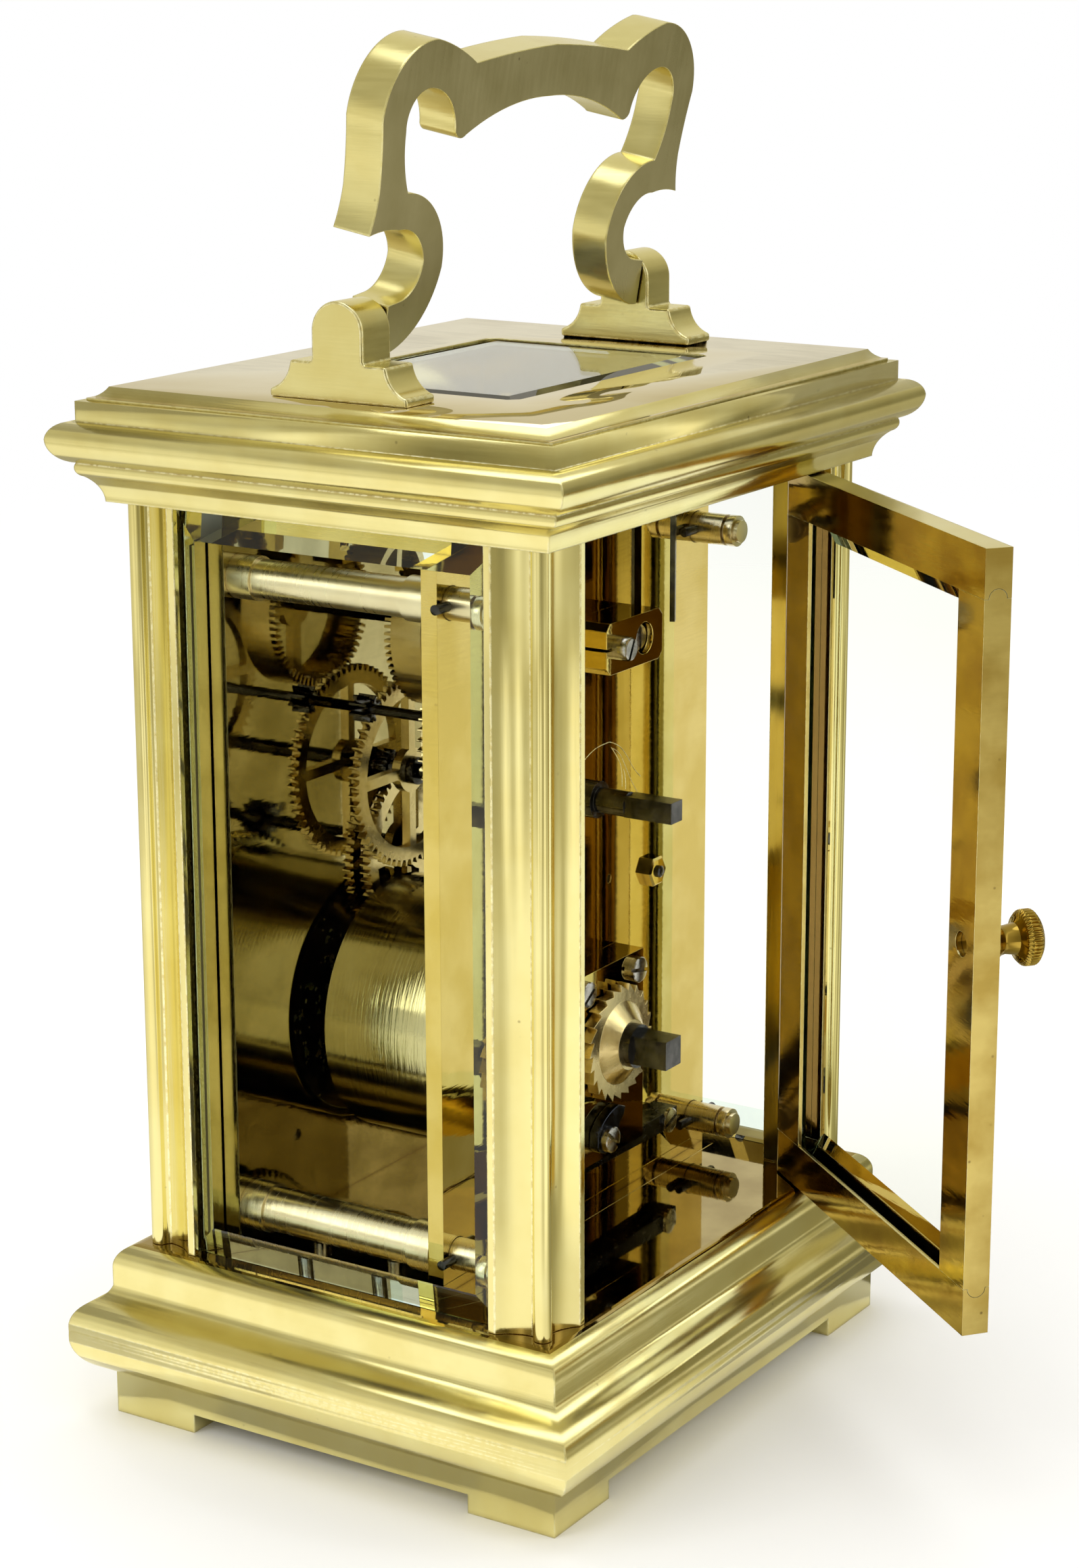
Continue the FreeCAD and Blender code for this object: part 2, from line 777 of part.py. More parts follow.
foot_end = size.lug_inner - size.handle_gap
reach = size.lug_inner + size.handle_flare
handle_outline = [
    (0, size.handle_arch, 0),
    (0, size.handle_crown, -0.012),
    (foot_end * 0.588, size.handle_crown - 1.3, -0.04),
    (foot_end * 0.886, size.handle_lobe, -0.21),
    (reach, size.handle_crown - 6.6, 0.02),
    (reach - 1.0, 14.8, 0.04),
    (reach - 0.2, 10.4, 0.05),
    (foot_end * 0.992, 10.6, 0.186),
    (foot_end * 0.79, 7.0, 0.19),
    (foot_end * 0.9255, 3.0, 0),
    (foot_end, 2.75, 0),
    (foot_end, -2.4, 0),
    (foot_end * 0.945, -2.3, -0.143),
    (foot_end * 0.647, 6.0, -0.21),
    (foot_end * 0.9647, 14.4, 0.06),
    (foot_end * 1.0353, 20.8, 0.25),
    (foot_end * 0.886, size.handle_arch + 2.0, 0.18),
    (foot_end * 0.6824, size.handle_arch - 2.8, -0.23),
    (foot_end * 0.6, size.handle_arch - 3.2, 0.058),
]
bail = new_body("Handle")
bail_sketch = sketch_on(bail, "XZ_Plane", [handle_outline])
pad(bail, bail_sketch, size.handle_thickness, symmetric=True)
mirrored = bail.newObject("PartDesign::Mirrored", "HandleMirrored")
mirrored.Originals = [bail.Group[-2]]
mirrored.MirrorPlane = (bail_sketch, ["V_Axis"])
bail.Tip = mirrored
pin_hole = size.handle_pin_radius + size.fit
right_bore = rod("HandleBoreRight", pin_hole, size.handle_pin_bite, foot_end - size.handle_pin_bite, 0, 0, "x")
left_bore = rod("HandleBoreLeft", pin_hole, size.handle_pin_bite, -foot_end, 0, 0, "x")
handle = cut("HandleCut", bail, [right_bore, left_bore])
keep("handle", place(handle, z=pivot_z, axis=axis_x, angle=-size.handle_lean))
pin_start = foot_end - size.handle_pin_bite + size.fit
pin_length = size.lug_inner + size.handle_pin_bite - pin_start
right_pin = rod("HandlePinRight", size.handle_pin_radius, pin_length, pin_start, 0, pivot_z, "x")
left_pin = rod("HandlePinLeft", size.handle_pin_radius, pin_length, -pin_start - pin_length, 0, pivot_z, "x")
keep("handle_pins", group("HandlePins", [right_pin, left_pin]))

# Rear door, modelled shut along X with its hinge on the origin, then swung open
door_height = size.column_height - size.door_gap * 2
door_end = opening_half_width * 2 - size.door_gap * 2 - size.door_thickness / 2
door_half = size.door_thickness / 2
pane_low = size.rail_height - size.pane_lap
pane_left = size.stile_width - size.pane_lap
door_pane_width = door_end - pane_left * 2
door_pane_height = door_height - pane_low * 2


def on_door(label, feature):
    z = floor_top + size.door_gap
    keep(label, place(feature, door_pivot_x, door_pivot_y, z, axis_z, size.door_angle))


def pane_space(name):
    room = size.pane_thickness / 2 + size.fit
    low = (pane_left - size.fit, -room, pane_low - size.fit)
    high = (door_end - pane_left + size.fit, room, door_height - pane_low + size.fit)
    return block(name, low, high)


def tongue(name, radius, x, z):
    return rod(name, radius, size.stile_width + size.fit, x - size.fit / 2, 0, z, "x")


def round_edge(name, bar, z, height):
    return joined(name, [bar, rod(f"{name}Edge", door_half, height, 0, 0, z)])


stile_low = size.rail_height
stile_high = door_height - size.rail_height
free_x = door_end - size.stile_width
for label, z, seam in (("door_bottom_rail", 0, stile_low), ("door_top_rail", stile_high, stile_high)):
    name = label.title().replace("_", "")
    z = as_size(z)
    bar = block(f"{name}Bar", (as_size(0), -door_half, z), (door_end, door_half, z + size.rail_height))
    rail = round_edge(f"{name}Round", bar, z, size.rail_height)
    bite = door_height - size.door_pin_bite if label == "door_top_rail" else as_size(0)
    tools = [
        pane_space(f"{name}Pane"),
        tongue(f"{name}HingeSocket", size.tongue_radius + size.fit, as_size(0), seam),
        tongue(f"{name}FreeSocket", size.tongue_radius + size.fit, free_x, seam),
        rod(f"{name}PinHole", size.door_pin_radius, size.door_pin_bite, 0, 0, bite),
    ]
    on_door(label, cut(name, rail, tools))
for label, x in (("door_hinge_stile", as_size(0)), ("door_free_stile", free_x)):
    name = label.title().replace("_", "")
    low = stile_low + size.fit / 2
    high = stile_high - size.fit / 2
    bar = block(f"{name}Bar", (x, -door_half, low), (x + size.stile_width, door_half, high))
    pieces = [bar]
    for end, seam in (("Low", stile_low), ("High", stile_high)):
        pieces.append(rod(f"{name}Tongue{end}", size.tongue_radius, size.stile_width, x, 0, seam, "x"))
    if label == "door_hinge_stile":
        pieces.append(rod(f"{name}Edge", door_half, high - low, 0, 0, low))
    tools = [pane_space(f"{name}Pane")]
    if label == "door_free_stile":
        knob_x = free_x + size.stile_width / 2
        bore_radius = size.knob_neck + size.fit
        tools.append(
            rod(f"{name}Bore", bore_radius, size.door_thickness, knob_x, -door_half, size.knob_height, "y")
        )
    on_door(label, cut(name, joined(f"{name}Joined", pieces), tools))
door_pane = place(
    pane("DoorGlass", door_pane_width, door_pane_height),
    door_end / 2,
    -size.pane_thickness / 2,
    pane_low,
)
on_door("door_glass", group("DoorGlassPlaced", [door_pane]))
knob = new_body("DoorKnob")
knob_end = door_half + size.knob_reach
rim = size.knob_radius
flange_start = door_half + size.fit
disc_start = knob_end - size.knob_disc
disc_round = size.knob_disc / 5
knob_outline = [
    (0, size.knob_sink - door_half, 0),
    (size.knob_neck, size.knob_sink - door_half, 0),
    (size.knob_neck, flange_start, 0),
    (size.knob_flange, flange_start, 0),
    (size.knob_waist, (flange_start + disc_start) / 2, -0.1),
    (rim - disc_round, disc_start, 0),
    (rim, disc_start + disc_round, 0),
    (rim, knob_end - disc_round * 2, 0.15),
    (rim - disc_round * 2, knob_end, 0),
    (0, knob_end, 0),
]
knob_sketch = sketch_on(knob, "XY_Plane", [knob_outline])
knob_turning = knob.newObject("PartDesign::Revolution", "DoorKnobRevolution")
knob_turning.Profile = knob_sketch
knob_turning.ReferenceAxis = (knob_sketch, ["V_Axis"])
knob_turning.Angle = 360
place(knob, knob_x, 0, size.knob_height)
on_door("door_knob", group("DoorKnobPlaced", [knob]))
pin_low = size.door_pin_bite - size.door_pin_length
door_pins = [
    rod("DoorPinLow", size.door_pin_radius, size.door_pin_length, 0, 0, pin_low),
    rod("DoorPinHigh", size.door_pin_radius, size.door_pin_length, 0, 0, door_height - size.door_pin_bite),
]
on_door("door_pins", group("DoorPins", door_pins))

# Movement places, x and z seen from behind the plates
front_outer = -size.plate_front
front_inner = front_outer + size.plate_thickness
back_inner = front_inner + size.plate_spacing
back_outer = back_inner + size.plate_thickness
plate_top = floor_top + size.plate_height
barrel_z = floor_top + size.barrel_height
centre_z = floor_top + size.centre_height


def module_for(distance, teeth, leaves):
    return distance * 2 / (teeth + leaves)


# The barrel and the hands fix the slow wheels, the platform and the hands the quick ones
climb = size.barrel_drop
great_distance = climb * size.great_share
slow_distance = climb * size.slow_share
square_difference = great_distance * great_distance - slow_distance * slow_distance
intermediate_rise = (climb + square_difference / climb) / 2
intermediate_x = -leg(great_distance, intermediate_rise)
intermediate_z = barrel_z + intermediate_rise
mesh_z = plate_top - size.mesh_drop
contrate_radius = (mesh_z - centre_z) * size.contrate_share
contrate_z = mesh_z - contrate_radius
third_rise = (contrate_z - centre_z) * size.third_share
third_x = (contrate_z - centre_z) * size.third_lean
third_z = centre_z + third_rise
third_distance = slant(third_x, third_rise)
contrate_distance = slant(third_x, contrate_z - third_z)
great_module = module_for(great_distance, size.great_teeth, size.intermediate_leaves)
slow_module = module_for(slow_distance, size.intermediate_teeth, size.centre_leaves)
centre_module = module_for(third_distance, size.centre_teeth, size.third_leaves)
third_module = module_for(contrate_distance, size.third_teeth, size.contrate_leaves)
contrate_module = contrate_radius * 2 / size.contrate_teeth
great_radius = great_module * size.great_teeth / 2
drum_radius = great_radius - size.drum_step
escape_pinion_radius = contrate_module * size.escape_leaves / 2
minute_distance = size.cannon_module * (size.minute_teeth + size.cannon_leaves) / 2
minute_x = -minute_distance * math.sqrt(0.5)
minute_z = centre_z - minute_distance * math.sqrt(0.5)
upper_pillar_z = plate_top - size.pillar_drop
lower_pillar_z = floor_top + size.pillar_low
pillar_places = [
    (side * size.pillar_across / 2, z) for z in (lower_pillar_z, upper_pillar_z) for side in (-1, 1)
]
screw_hole = size.small_screw_radius + size.fit
block_screw_x = -size.block_screw_across
bridge_screw_x = size.bridge_width / 2 - size.bridge_screw_inset
bridge_screw_z = barrel_z + size.bridge_rise - size.bridge_screw_inset
bridge_screws = [(side * bridge_screw_x, bridge_screw_z) for side in (-1, 1)]
click_x = size.click_across
click_z = barrel_z - size.click_drop
nut_place = (size.nut_inset - size.plate_width / 2, centre_z - size.nut_drop)
bar_high = barrel_z - size.bridge_drop - size.bar_gap
bar_low = bar_high - size.bar_height
spring_screw = (size.bar_inset - size.plate_width / 2, bar_low + size.bar_height / 2)


# Plates: drilled for pillars, pivots and screws, tapped on top for the platform
def plate(label, y, holes):
    name = label.title().replace("_", "")
    body = new_body(name)
    outline = rectangle(-size.plate_width / 2, size.plate_width / 2, floor_top, plate_top)
    drilled = [(x, z, size.pillar_tenon + size.fit) for x, z in pillar_places] + holes
    pad(body, sketch_on(body, "XZ_Plane", [outline], drilled), size.plate_thickness, turned_over=True)
    place(body, y=y)
    taps = []
    for side in (-1, 1):
        x = side * (size.platform_width / 2 - size.deck_screw_inset)
        middle = y + size.plate_thickness / 2
        taps.append(rod(f"{name}Tap{len(taps)}", screw_hole, 4, x, middle, plate_top - 4))
    return cut(f"{name}Cut", body, taps)


pivot_hole = size.pivot_radius + size.fit
front_holes = [
    (0, barrel_z, size.barrel_arbor_radius - 0.7 + size.fit),
    (intermediate_x, intermediate_z, pivot_hole),
    (0, centre_z, size.centre_arbor_radius + size.fit),
    (third_x, third_z, pivot_hole),
    (0, contrate_z, pivot_hole),
]
minute_stud = rod(
    "MinuteStud",
    0.6,
    size.dial_gap - 0.3,
    minute_x,
    front_outer - size.dial_gap + 0.3,
    minute_z,
    "y",
)
keep("front_plate", joined("FrontPlateStud", [plate("front_plate", front_outer, front_holes), minute_stud]))
back_holes = [
    (0, barrel_z, size.barrel_arbor_radius + size.fit),
    (intermediate_x, intermediate_z, pivot_hole),
    (0, centre_z, size.centre_arbor_radius + size.fit),
    (third_x, third_z, pivot_hole),
    (0, contrate_z, 1.4),
    (block_screw_x, contrate_z, screw_hole),
    (*bridge_screws[0], screw_hole),
    (*bridge_screws[1], screw_hole),
    (*nut_place, screw_hole),
    (*spring_screw, screw_hole),
]
keep("back_plate", plate("back_plate", back_inner, back_holes))

pillars = []
pillar_pins = []
groove_radius = size.pillar_tenon - size.tail_groove
for index, (x, z) in enumerate(pillar_places):
    tail = back_outer + size.pillar_tail
    shaft_radius = size.low_pillar_radius if z is lower_pillar_z else size.pillar_radius
    collar_radius = shaft_radius + size.pillar_collar_step
    steps = [
        (front_outer, front_inner, size.pillar_tenon),
        (front_inner, front_inner + size.pillar_collar_length, collar_radius),
        (front_inner + size.pillar_collar_length, back_inner - size.pillar_collar_length, shaft_radius),
        (back_inner - size.pillar_collar_length, back_inner, collar_radius),
        (back_inner, tail - size.tail_cap - size.tail_groove - size.tail_tip, size.pillar_tenon),
        (tail - size.tail_cap - size.tail_groove - size.tail_tip, tail - size.tail_cap - size.tail_tip, groove_radius),
        (tail - size.tail_cap - size.tail_tip, tail - size.tail_tip, size.pillar_tenon),
        (tail - size.tail_tip, tail, size.pillar_tenon - size.tail_tip),
    ]
    shaft = place(turned(f"Pillar{index}", steps), x=x, z=z)
    pin_y = back_outer + size.taper_pin_radius + size.fit
    reach = size.taper_pin_length / 2
    hole = rod(f"PillarHole{index}", size.taper_pin_radius, size.taper_pin_length, x - reach, pin_y, z, "x")
    pillars.append(cut(f"PillarCut{index}", shaft, [hole]))
    pillar_pins.append(
        rod(f"PillarPin{index}", size.taper_pin_radius, size.taper_pin_length, x - reach, pin_y, z, "x")
    )
keep("pillars", group("Pillars", pillars))
keep("pillar_pins", group("PillarPins", pillar_pins))


# Toothed outlines: (radius, half width as a share of the pitch) from root to tip
def toothed_wire(teeth, phase, flanks):
    points = []
    pitch = 2 * math.pi / teeth
    for tooth in range(teeth):
        middle = math.radians(phase) + tooth * pitch
        for side, steps in ((-1, flanks), (1, flanks[::-1])):
            for radius, share in steps:
                angle = middle + side * share * pitch
                points.append(vector(radius * math.cos(angle), radius * math.sin(angle), 0))
    return Part.makePolygon(points + points[:1])


def circle_wire(radius):
    return Part.Wire(Part.makeCircle(radius))


def ring_arc(radius, first, last):
    angles = (first, (first + last) / 2, last)
    spots = [vector(radius * math.cos(angle), radius * math.sin(angle), 0) for angle in angles]
    return Part.Arc(*spots).toShape()


def spoke_windows(hub, rim, spokes, width):
    wires = []
    sector = 2 * math.pi / spokes
    for index in range(spokes):
        inner = math.asin(width / 2 / hub)
        outer = math.asin(width / 2 / rim)
        start = index * sector
        end = start + sector
        far = ring_arc(rim, start + outer, end - outer)
        near = ring_arc(hub, start + inner, end - inner)
        sides = [
            Part.makeLine(near.Vertexes[0].Point, far.Vertexes[0].Point),
            Part.makeLine(near.Vertexes[-1].Point, far.Vertexes[-1].Point),
        ]
        wires.append(Part.Wire(Part.__sortEdges__([far, near] + sides)))
    return wires


def flat_solid(wires, thickness):
    face = Part.makeFace(wires, "Part::FaceMakerBullseye")
    return face.extrude(vector(0, 0, thickness))


def shaped(name, shape):
    feature = document.addObject("Part::Feature", name)
    feature.Shape = shape
    return feature


def wheel_flanks(module, teeth):
    pitch_radius = module * teeth / 2
    return [(pitch_radius - 1.3 * module, 0.27), (pitch_radius + 0.85 * module, 0.08)]


def pinion_flanks(module, leaves):
    pitch_radius = module * leaves / 2
    return [(pitch_radius - 1.3 * module, 0.17), (pitch_radius + 0.6 * module, 0.1)]


def wheel_shape(teeth, module, thickness, bore, phase, hub=None, spokes=4):
    flanks = wheel_flanks(module.value, int(teeth.value))
    wires = [toothed_wire(int(teeth.value), phase, flanks), circle_wire(bore.value)]
    rim = flanks[0][0] - size.rim_width.value
    hub = size.hub_radius.value if hub is None else hub
    if rim > hub + 1.5:
        wires += spoke_windows(hub, rim, spokes, size.spoke_width.value)
    return flat_solid(wires, thickness.value)


def pinion_shape(leaves, module, length, phase, bore=None):
    flanks = pinion_flanks(module.value, int(leaves.value))
    wires = [toothed_wire(int(leaves.value), phase, flanks)]
    if bore is not None:
        wires.append(circle_wire(bore.value))
    return flat_solid(wires, length.value)


def bearing(from_x, from_z, to_x, to_z):
    rise = as_size(to_z).value - as_size(from_z).value
    run = as_size(to_x).value - as_size(from_x).value
    return math.degrees(math.atan2(rise, run))


# A wheel has a tooth on the line of centres, its pinion a gap
def gap_phase(angle, leaves):
    return angle + 180 + 180 / leaves.value


# Flat shapes stand up so that their thickness runs toward the dial from y
def stand(feature, x, y, z):
    return place(feature, x, y, z, axis_x, 90)


def on_arbor(label, x, z, steps, extras):
    name = label.title().replace("_", "")
    shaft = place(turned(f"{name}Shaft", steps), x=x, z=z)
    keep(label, joined(name, [shaft] + extras))


end_shake = 0.2
seat = size.train_arbor_radius
to_intermediate = bearing(0, barrel_z, intermediate_x, intermediate_z)
to_centre = bearing(intermediate_x, intermediate_z, 0, centre_z)
to_third = bearing(0, centre_z, third_x, third_z)
to_contrate = bearing(third_x, third_z, 0, contrate_z)

# Barrel: drum with the great wheel at its back, cap at its front
drum_front = front_inner + size.drum_front
drum_back = back_inner - size.drum_shake
drum_length = drum_back - drum_front
great_flanks = wheel_flanks(great_module.value, int(size.great_teeth.value))
great_ring = [
    toothed_wire(int(size.great_teeth.value), to_intermediate, great_flanks),
    circle_wire(size.barrel_arbor_radius.value + size.fit.value),
]
great = shaped("GreatWheel", flat_solid(great_ring, size.great_thickness.value))
stand(great, 0, drum_back, barrel_z)
tube_length = drum_length - size.great_thickness
tube = rod("DrumOutside", drum_radius, tube_length, 0, drum_front, barrel_z, "y")
room = rod("DrumInside", drum_radius - size.drum_wall, tube_length, 0, drum_front, barrel_z, "y")
keep("barrel_drum", joined("BarrelDrum", [cut("DrumShell", tube, [room]), great]))
cap_disc = rod(
    "CapDisc",
    drum_radius - size.drum_wall - size.fit,
    size.drum_wall,
    0,
    drum_front,
    barrel_z,
    "y",
)
cap_hole = rod("CapHole", size.barrel_arbor_radius + size.fit, size.drum_wall, 0, drum_front, barrel_z, "y")
keep("barrel_cap", cut("BarrelCap", cap_disc, [cap_hole]))
core_start = drum_front + size.drum_wall + end_shake
core_end = drum_back - size.great_thickness - end_shake
spring_radius = drum_radius - size.drum_wall - size.spring_slack
spring_disc = rod("SpringDisc", spring_radius, core_end - core_start, 0, core_start, barrel_z, "y")
eye_radius = size.barrel_core_radius + size.fit
spring_eye = rod("SpringEye", eye_radius, core_end - core_start, 0, core_start, barrel_z, "y")
keep("mainspring", cut("MainspringRing", spring_disc, [spring_eye]))
bridge_back = back_outer + size.bridge_thickness
ratchet_back = bridge_back + end_shake + size.ratchet_thickness
collar_start = ratchet_back + size.ratchet_hub_rise
collar_end = collar_start + size.winding_collar_length
square_end = back_outer + size.winding_reach
barrel_steps = [
    (front_outer + 0.3, front_inner, size.barrel_arbor_radius - 0.7),
    (front_inner, core_start, size.barrel_arbor_radius),
    (core_start, core_end, size.barrel_core_radius),
    (core_end, collar_start, size.barrel_arbor_radius),
    (collar_start, collar_end, size.winding_collar),
]
half_square = size.winding_square / 2
winding_square = block(
    "WindingSquare",
    (-half_square, collar_end - size.fit, barrel_z - half_square),
    (half_square, square_end, barrel_z + half_square),
)
on_arbor("barrel_arbor", 0, barrel_z, barrel_steps, [winding_square])

# Barrel bridge with the ratchet, its click and the click spring
bridge = new_body("BarrelBridge")
bridge_half = size.bridge_width / 2
bridge_outline = rectangle(
    -bridge_half, bridge_half, barrel_z - size.bridge_drop, barrel_z + size.bridge_rise
)
bridge_holes = [
    (0, barrel_z, size.barrel_arbor_radius + size.fit),
    (*bridge_screws[0], screw_hole),
    (*bridge_screws[1], screw_hole),
    (click_x, click_z, screw_hole),
]
bridge_sketch = sketch_on(bridge, "XZ_Plane", [bridge_outline], bridge_holes)
pad(bridge, bridge_sketch, size.bridge_thickness, turned_over=True)
keep("barrel_bridge", place(bridge, y=back_outer))
ratchet_root = size.ratchet_radius - size.ratchet_depth
saw_points = []
saw_teeth = int(size.ratchet_teeth.value)
for tooth in range(saw_teeth):
    angle = 2 * math.pi * tooth / saw_teeth
    for radius in (ratchet_root.value, size.ratchet_radius.value):
        saw_points.append(vector(radius * math.cos(angle), radius * math.sin(angle), 0))
saw_wire = Part.makePolygon(saw_points + saw_points[:1])
ratchet_wires = [saw_wire, circle_wire(size.barrel_arbor_radius.value)]
hub_ends = (size.ratchet_hub_foot.value, size.ratchet_hub_top.value, size.ratchet_hub_rise.value)
hub_cone = Part.makeCone(*hub_ends, vector(0, 0, 0), vector(0, 0, -1))
hub_bore = (size.barrel_arbor_radius.value, size.ratchet_hub_rise.value)
hub = hub_cone.cut(Part.makeCylinder(*hub_bore, vector(0, 0, 0), vector(0, 0, -1)))
saw_disc = flat_solid(ratchet_wires, size.ratchet_thickness.value)
ratchet = shaped("Ratchet", saw_disc.fuse(hub).removeSplitter())
keep("ratchet_wheel", stand(ratchet, 0, ratchet_back, barrel_z))
tip_gap = 0.15
tip_z = size.click_drop - size.ratchet_radius - tip_gap
click = new_body("Click")
click_outline = [
    (-1.9, -0.6, 0.3),
    (1.9, -0.6, 0),
    (1.7, 1.2, 0.1),
    (-click_x - 0.2, tip_z - 0.6, 0),
    (-click_x - 1.6, tip_z - 1.2, 0),
    (-click_x - 1.2, tip_z - 2.2, -0.08),
]
click_sketch = sketch_on(click, "XZ_Plane", [click_outline], [(0, 0, screw_hole)])
pad(click, click_sketch, size.click_thickness, turned_over=True)
keep("click", place(click, click_x, bridge_back + size.fit, click_z))
click_spring = new_body("ClickSpring")
bar_left = spring_screw[0] - 2.0
bar_right = size.bridge_width / 2 - 4
bar_outline = [
    (bar_left, bar_low),
    (bar_right, bar_low + 0.6),
    (bar_right, bar_high - 0.6),
    (bar_left, bar_high),
]
bar_sketch = sketch_on(click_spring, "XZ_Plane", [bar_outline], [(*spring_screw, screw_hole)])
pad(click_spring, bar_sketch, 1.6, turned_over=True)
keep("click_spring", place(click_spring, y=back_outer))

# Wheels and arbors of the train, from the front plate back
slow_y = front_inner + 1.8
slow_wheel = wheel_shape(
    size.intermediate_teeth, slow_module, size.wheel_thickness, seat + 0.2, to_centre
)
keep("intermediate_wheel", stand(shaped("IntermediateWheel", slow_wheel), intermediate_x, slow_y, intermediate_z))
slow_pinion_back = drum_back + 0.6
slow_pinion_length = size.great_thickness + 1.2
slow_pinion = stand(
    shaped(
        "IntermediatePinion",
        pinion_shape(
            size.intermediate_leaves,
            great_module,
            slow_pinion_length,
            gap_phase(to_intermediate, size.intermediate_leaves),
        ),
    ),
    intermediate_x,
    slow_pinion_back,
    intermediate_z,
)
slow_steps = [
    (front_outer + 0.3, front_inner + end_shake, size.pivot_radius),
    (front_inner + end_shake, slow_y, seat + 0.2),
    (slow_y, slow_y + 0.9, seat + 0.9),
    (slow_y + 0.9, back_inner - end_shake, seat + 0.2),
    (back_inner - end_shake, back_outer - 0.3, size.pivot_radius),
]
on_arbor("intermediate_arbor", intermediate_x, intermediate_z, slow_steps, [slow_pinion])

centre_y = front_inner + 4.8
centre_bore = size.centre_arbor_radius
centre_wheel = wheel_shape(size.centre_teeth, centre_module, size.wheel_thickness, centre_bore, to_third)
keep("centre_wheel", stand(shaped("CentreWheel", centre_wheel), 0, centre_y, centre_z))
centre_pinion_back = slow_y + 0.2
centre_pinion_length = size.wheel_thickness + 0.4
centre_pinion = stand(
    shaped(
        "CentrePinion",
        pinion_shape(
            size.centre_leaves,
            slow_module,
            centre_pinion_length,
            gap_phase(to_centre, size.centre_leaves),
        ),
    ),
    0,
    centre_pinion_back,
    centre_z,
)
cannon_front = front_outer - size.dial_gap - size.dial_thickness - 1.15
setting_end = back_outer + size.setting_reach
centre_steps = [
    (cannon_front, front_outer, 0.75),
    (front_outer, centre_y, size.centre_arbor_radius),
    (centre_y, centre_y + 1.0, size.centre_arbor_radius + 0.7),
    (centre_y + 1.0, back_outer + 0.4, size.centre_arbor_radius),
    (back_outer + 0.4, back_outer + 2.5, 2.1),
    (back_outer + 2.5, back_outer + size.setting_shaft, 1.45),
]
half_setting = size.setting_square / 2
setting_square = block(
    "SettingSquare",
    (-half_setting, back_outer + size.setting_shaft - size.fit, centre_z - half_setting),
    (half_setting, setting_end, centre_z + half_setting),
)
on_arbor("centre_arbor", 0, centre_z, centre_steps, [centre_pinion, setting_square])

third_pinion = stand(
    shaped(
        "ThirdPinion",
        pinion_shape(
            size.third_leaves,
            centre_module,
            size.wheel_thickness + 1.2,
            gap_phase(to_third, size.third_leaves),
        ),
    ),
    third_x,
    centre_y + 0.6,
    third_z,
)
third_y = back_inner - 5.6
third_wheel = wheel_shape(size.third_teeth, third_module, size.wheel_thickness, seat, to_contrate)
keep("third_wheel", stand(shaped("ThirdWheel", third_wheel), third_x, third_y, third_z))
third_steps = [
    (front_outer + 0.3, front_inner + end_shake, size.pivot_radius),
    (front_inner + end_shake, third_y, seat),
    (third_y, third_y + 1.0, seat + 0.7),
    (third_y + 1.0, back_inner - end_shake, seat),
    (back_inner - end_shake, back_outer - 0.3, size.pivot_radius),
]
on_arbor("third_arbor", third_x, third_z, third_steps, [third_pinion])

contrate_pinion = stand(
    shaped(
        "ContratePinion",
        pinion_shape(
            size.contrate_leaves,
            third_module,
            size.wheel_thickness + 1.4,
            gap_phase(to_contrate, size.contrate_leaves),
        ),
    ),
    0,
    third_y + 0.7,
    contrate_z,
)
contrate_y = front_inner + size.plate_spacing * 0.484
contrate_width = 4.0
crown_height = 0.85
block_back = back_outer + size.block_thickness
contrate_steps = [
    (front_outer + 0.3, front_inner + end_shake, size.pivot_radius),
    (front_inner + end_shake, contrate_y, seat),
    (contrate_y, contrate_y + 1.0, seat + 0.7),
    (contrate_y + 1.0, back_outer - 0.4, seat),
    (back_outer - 0.4, back_outer + 1.6, size.pivot_radius),
]
on_arbor("contrate_arbor", 0, contrate_z, contrate_steps, [contrate_pinion])

# Contrate wheel: a crossed disc, a rim and teeth that stand toward the dial
rim_inner = contrate_radius.value - 0.5
rim_outer = contrate_radius.value + 0.45
disc_wires = [circle_wire(rim_outer), circle_wire(seat.value)]
disc_wires += spoke_windows(size.hub_radius.value, rim_inner - 0.2, 4, size.spoke_width.value + 0.3)
contrate_shape = flat_solid(disc_wires, size.wheel_thickness.value)
rim_wall = flat_solid([circle_wire(rim_outer), circle_wire(rim_inner)], contrate_width)
crown_pitch = 2 * math.pi / size.contrate_teeth.value
crown_teeth = []
for tooth in range(int(size.contrate_teeth.value)):
    middle = math.pi / 2 + tooth * crown_pitch
    half_tooth = crown_pitch * 0.2
    outer_edge = ring_arc(rim_outer, middle - half_tooth, middle + half_tooth)
    inner_edge = ring_arc(rim_inner, middle - half_tooth, middle + half_tooth)
    edges = [
        outer_edge,
        inner_edge,
        Part.makeLine(inner_edge.Vertexes[0].Point, outer_edge.Vertexes[0].Point),
        Part.makeLine(inner_edge.Vertexes[-1].Point, outer_edge.Vertexes[-1].Point),
    ]
    tooth_face = Part.Face(Part.Wire(Part.__sortEdges__(edges)))
    tooth_face.translate(vector(0, 0, contrate_width))
    crown_teeth.append(tooth_face.extrude(vector(0, 0, crown_height)))
contrate_shape = contrate_shape.fuse([rim_wall] + crown_teeth).removeSplitter()
keep("contrate_wheel", stand(shaped("ContrateWheel", contrate_shape), 0, contrate_y, contrate_z))

